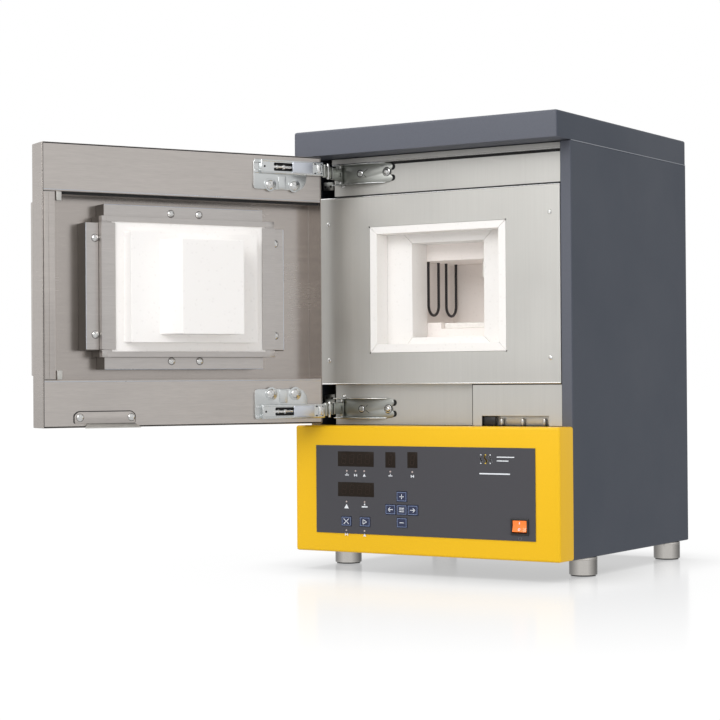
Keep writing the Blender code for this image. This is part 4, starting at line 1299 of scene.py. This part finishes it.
def makeHingeDoorSide(hinge, name):
    s = hingeSettings
    middle, up = hinge
    am, drop = s["armMiddle"], middle - up * s["screwDrop"]
    plate = bmesh.new()
    outline = softCorners([(x, middle + up * z) for x, z in s["plate"]], 5.0)
    addPrism(plate, outline, *s["plateDepth"], "Y", 0.4, 3)
    for x, turn in s["plateScrews"]:
        addRod(plate, (x, 0.2, drop), 8.4, 1.0, "Y", 40, 0.7)
    for rib in s["ribs"]:
        addSlab(plate, hinge, *rib)
    finishPiece(f"hinge_plate_{name}", plate, zincPlate, "door")
    makeHingeArm(hinge, name)
    dark, bolt, cap, clasp = bmesh.new(), bmesh.new(), bmesh.new(), bmesh.new()
    # painted shade: dark inserts behind the slot, in the notches and at the pip
    left, right = s["slot"]
    addSlab(dark, hinge, (left + 0.3, right - 0.3), (0.8, 1.8),
            (am - s["darkHalf"], am + s["darkHalf"]), 0.1)
    wide, tall = s["notchWide"], s["notchHigh"]
    for x in s["notches"]:
        for z in (am + s["notchOut"], am - s["notchOut"]):
            addSlab(dark, hinge, (x - wide, x + wide), (5.2, 6.0), (z - tall, z + tall), 0.2)
    addRod(dark, (s["pip"], 5.2, middle + up * am), 1.3, 0.75, "Y", 20)
    finishPiece(f"hinge_arm_dark_{name}", dark, paintedShadeBlack, "door")
    for x, y, radius, length, sides, roundBy in s["shafts"]:
        addRod(bolt, (x, y, middle + up * am), radius, length, "X", sides, roundBy)
    for x, turn in s["plateScrews"]:
        addScrew(bolt, (x, 1.1, drop), 6.0, "+Y", turn, 0.8)
    finishPiece(f"hinge_door_bolts_{name}", bolt, brightSteel, "door")
    addSlab(cap, hinge, s["cap"], (4.8, 7.2), (am - s["capHalf"], am + s["capHalf"]), 0.9, 4)
    finishPiece(f"hinge_cap_{name}", cap, satinCap, "door")
    addSlab(clasp, hinge, s["clasp"], (4.6, 7.6), (am - s["claspHalf"], am + s["claspHalf"]),
            1.2, 4)
    finishPiece(f"hinge_clasp_{name}", clasp, brightSteel, "door")


def makeHingeLink(hinge, name):
    s = hingeSettings
    link, pin, slit = bmesh.new(), bmesh.new(), bmesh.new()
    for slab in s["link"]:
        addSlab(link, hinge, *slab)
    for eye in s["linkEyes"]:
        addUpright(link, hinge, *eye)
    body = finishPiece(f"hinge_link_body_{name}", link, zincPaintedShade, "hinge_links")
    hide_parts(f"hinge_link_{name}")
    addUpright(pin, hinge, *s["linkPin"])
    finishPiece(f"hinge_link_pin_{name}", pin, brightSteel, "hinge_links")
    # the slits are dark slabs: painted shade
    for slab in s["slits"]:
        addSlab(slit, hinge, *slab)
    finishPiece(f"hinge_link_slits_{name}", slit, paintedShadeBlack, "hinge_links")


def makeHingeBracket(hinge, name):
    s = hingeSettings
    middle, up = hinge
    bracket = bmesh.new()
    web = softCorners([(x, middle + up * z) for x, z in s["web"]], 1.6)
    addPrism(bracket, web, 13.6, 14.6, "Y", 0.25, 2)
    inner, outer = s["lipSpan"]
    for side in (-1, 1):
        low, high = spanOf(hinge, side * inner, side * outer)
        addPrism(bracket, softCorners(s["lip"], 5.0), low, high, "Z", 0.2, 2)
    bracketPiece = finishPiece(f"hinge_bracket_body_{name}", bracket, zincPaintedShade)
    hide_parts(f"hinge_bracket_{name}")
    # the lips' rolled edges, drawn in the lighter zinc as a painted highlight
    thick, thin = s["beadRadii"]
    for side, label in ((-1, "inner"), (1, "outer")):
        z = middle + up * side * s["beadOut"]
        path = [((x, y, z), thick if step < s["beadThin"] else thin)
                for step, (x, y) in enumerate(s["bead"])]
        finishPiece(f"hinge_bead_{label}_{name}", tubeShape(path, 4), zincPlate)
    small, marks, tab, holes = bmesh.new(), bmesh.new(), bmesh.new(), bmesh.new()
    end, mid = s["endScrew"], s["midScrew"]
    addUpright(small, hinge, *s["bracketPin"])
    addRod(small, (end, 13.5, middle + up), 5.2, -0.5, "Y", 32, 0.2)
    addScrew(small, (end, 13.1, middle + up), 3.9, "-Y", 20)
    addScrew(small, (mid, 13.62, middle + up), 4.0, "-Y", 60, 0.16)
    finishPiece(f"hinge_bracket_screws_{name}", small, brightSteel)
    # score lines drawn dark as painted shade, and painted shadow: discs behind the end lobes and
    # rings under the two screws
    for (ax, az), (bx, bz) in s["scores"]:
        addStroke(marks, (ax, middle + up * az), (bx, middle + up * bz), 0.7, 13.61, 0.08)
    x, out, radius = s["lobe"]
    for z in (-out, out):
        addRod(marks, (x, 14.72, middle + z), radius, 0.15, "Y", 28)
    addRod(marks, (mid, 13.62, middle + up), 5.0, -0.08, "Y", 32)
    addRod(marks, (end, 13.42, middle + up), 5.9, 0.1, "Y", 32)
    finishPiece(f"hinge_bracket_scores_and_shadows_{name}", marks, paintedShadeBlack)
    addSlab(tab, hinge, *s["tab"])
    finishPiece(f"hinge_tab_{name}", tab, zincPaintedShade)
    # the holes are dark discs: painted shade
    for x in s["tabHoles"]:
        addRod(holes, (x, 15.62, middle - up * s["tabDrop"]), 1.7, -0.12, "Y", 20)
    finishPiece(f"hinge_tab_holes_{name}", holes, paintedShadeBlack)


def makeHinges():
    s = hingeSettings
    for middle, up, name in zip(s["middles"], s["up"], s["names"]):
        makeHingeDoorSide((middle, up), name)
        makeHingeLink((middle, up), name)
        makeHingeBracket((middle, up), name)


makeHinges()
print("door and hinges made")


# back: screws around the panel, inlet blades

# screws round the back panel, and the inlet's three blades as (x, height)
backSettings = {"x": (-178.0, 0.0, 178.0), "ends": (40.0, 520.0), "between": (200.0, 360.0),
                "screwDepth": 344.1, "screwRadius": 3.6, "bladeDepth": (332.2, 345.5),
                "blades": ((-120.0, 71.0), (-114.0, 75.5), (-108.0, 71.0)), "bladeHalf": (1.0, 2.2)}


def makeBackDetails():
    s = backSettings
    screws, blades = bmesh.new(), bmesh.new()
    spots = [(x, z) for x in s["x"] for z in s["ends"]]
    spots += [(x, z) for z in s["between"] for x in (s["x"][0], s["x"][-1])]
    for x, z in spots:
        addScrew(screws, (x, s["screwDepth"], z), s["screwRadius"], "+Y", x + z)
    finishPiece("back_screws", screws, brightSteel)
    (front, back), (wide, tall) = s["bladeDepth"], s["bladeHalf"]
    for x, z in s["blades"]:
        addBlock(blades, (x - wide, front, z - tall), (x + wide, back, z + tall), 0.3, 2)
    finishPiece("inlet_blades", blades, brightSteel)


makeBackDetails()


# stage: floor, light and camera

def makeFloor():
    shape = bmesh.new()
    bmesh.ops.create_grid(shape, x_segments=1, y_segments=1, size=30.0)
    mesh = meshFrom(shape, "floor")
    floor = bpy.data.objects.new("floor", mesh)
    bpy.context.scene.collection.objects.link(floor)
    floor.location.z = -0.0004
    material = bpy.data.materials.new("whiteFloor")
    material.use_nodes = True
    tree = material.node_tree
    out = tree.nodes["Material Output"]
    tree.nodes.remove(tree.nodes["Principled BSDF"])
    # painted shadow: the floor's glow is dimmed by ambient occlusion near the cabinet
    nearby = addNode(tree, "ShaderNodeAmbientOcclusion", {"samples": 16}, Distance=0.12)
    shade = addRange(tree, nearby.outputs["AO"], 0.2, 0.95, 0.56, 1.04)
    glow = addNode(tree, "ShaderNodeEmission", Strength=shade)
    mirror = addNode(tree, "ShaderNodeBsdfGlossy", Color=(1, 1, 1, 1), Roughness=0.16)
    matte = addNode(tree, "ShaderNodeEmission", Strength=0.62)
    # the polish shows only close around the cabinet
    spot = tree.nodes.new("ShaderNodeTexCoord").outputs["Object"]
    centred = addNode(tree, "ShaderNodeMapping", {"vector_type": "POINT"}, Vector=spot,
                      Location=(-0.1, -0.15, 0))
    away = addNode(tree, "ShaderNodeVectorMath", {"operation": "LENGTH"})
    tree.links.new(centred.outputs[0], away.inputs[0])
    polish = addRange(tree, away.outputs["Value"], 0.26, 0.95, 0.24, 0.0)
    seen = addNode(tree, "ShaderNodeMixShader", Fac=polish)
    tree.links.new(glow.outputs[0], seen.inputs[1])
    tree.links.new(mirror.outputs[0], seen.inputs[2])
    path = addNode(tree, "ShaderNodeLightPath")
    both = addNode(tree, "ShaderNodeMixShader", Fac=path.outputs["Is Camera Ray"])
    tree.links.new(matte.outputs[0], both.inputs[1])
    tree.links.new(seen.outputs[0], both.inputs[2])
    tree.links.new(both.outputs[0], out.inputs["Surface"])
    mesh.materials.append(material)


def makeWorld():
    world = bpy.data.worlds.new("studio")
    bpy.context.scene.world = world
    world.use_nodes = True
    tree = world.node_tree
    out = tree.nodes["World Output"]
    ambient = tree.nodes["Background"]
    sky = tree.nodes.new("ShaderNodeTexCoord").outputs["Generated"]
    way = addNode(tree, "ShaderNodeSeparateXYZ", Vector=sky)
    # the studio is dimmer overhead
    dim = addRange(tree, way.outputs["Z"], 0.05, 0.9, 0.85, 0.58)
    tree.links.new(dim, ambient.inputs["Strength"])
    ambient.inputs["Color"].default_value = (1, 1, 1, 1)
    seen = addNode(tree, "ShaderNodeBackground", Color=(1, 1, 1, 1), Strength=1.0)
    path = addNode(tree, "ShaderNodeLightPath")
    both = addNode(tree, "ShaderNodeMixShader", Fac=path.outputs["Is Camera Ray"])
    tree.links.new(ambient.outputs[0], both.inputs[1])
    tree.links.new(seen.outputs[0], both.inputs[2])
    tree.links.new(both.outputs[0], out.inputs["Surface"])


def addSoftbox(name, spot, aim, size, power):
    lamp = bpy.data.lights.new(name, "AREA")
    lamp.shape = "RECTANGLE"
    lamp.size, lamp.size_y = size
    lamp.energy = power
    holder = bpy.data.objects.new(name, lamp)
    bpy.context.scene.collection.objects.link(holder)
    holder.location = spot
    holder.rotation_euler = (Vector(aim) - Vector(spot)).to_track_quat("-Z", "Y").to_euler()
    return holder


cameraSettings = {"lens": 95.89, "spot": (1223.6, -2074.4, 241.6),
                  "ahead": (-0.54174, 0.84047, 0.01078), "right": (0.84047, 0.54182, -0.00663)}


def makeCamera():
    s = cameraSettings
    ahead, right = Vector(s["ahead"]).normalized(), Vector(s["right"]).normalized()
    up = right.cross(ahead).normalized()
    turn = Matrix((right, up, -ahead)).transposed().to_4x4()
    camera = bpy.data.cameras.new("camera")
    camera.lens = s["lens"]
    camera.sensor_width = 36.0
    holder = bpy.data.objects.new("camera", camera)
    bpy.context.scene.collection.objects.link(holder)
    holder.matrix_world = Matrix.Translation(cabinetPlace @ Vector(s["spot"])) @ turn
    bpy.context.scene.camera = holder


makeFloor()
makeWorld()
addSoftbox("key", (0.1, -2.6, 1.6), (0, 0, 0.3), (1.8, 1.4), 34)
addSoftbox("overhead", (-1.1, -0.7, 2.3), (0.0, -0.1, 0.3), (2.0, 1.8), 24)
# the fill lifts the painted side and the door lining without a reflection in the steel
addSoftbox("fill", (2.3, -0.7, 0.3), (0.2, -0.3, 0.2), (1.4, 0.8), 9).visible_glossy = False
makeCamera()
bpy.context.scene.view_settings.view_transform = "Standard"
print("stage set")
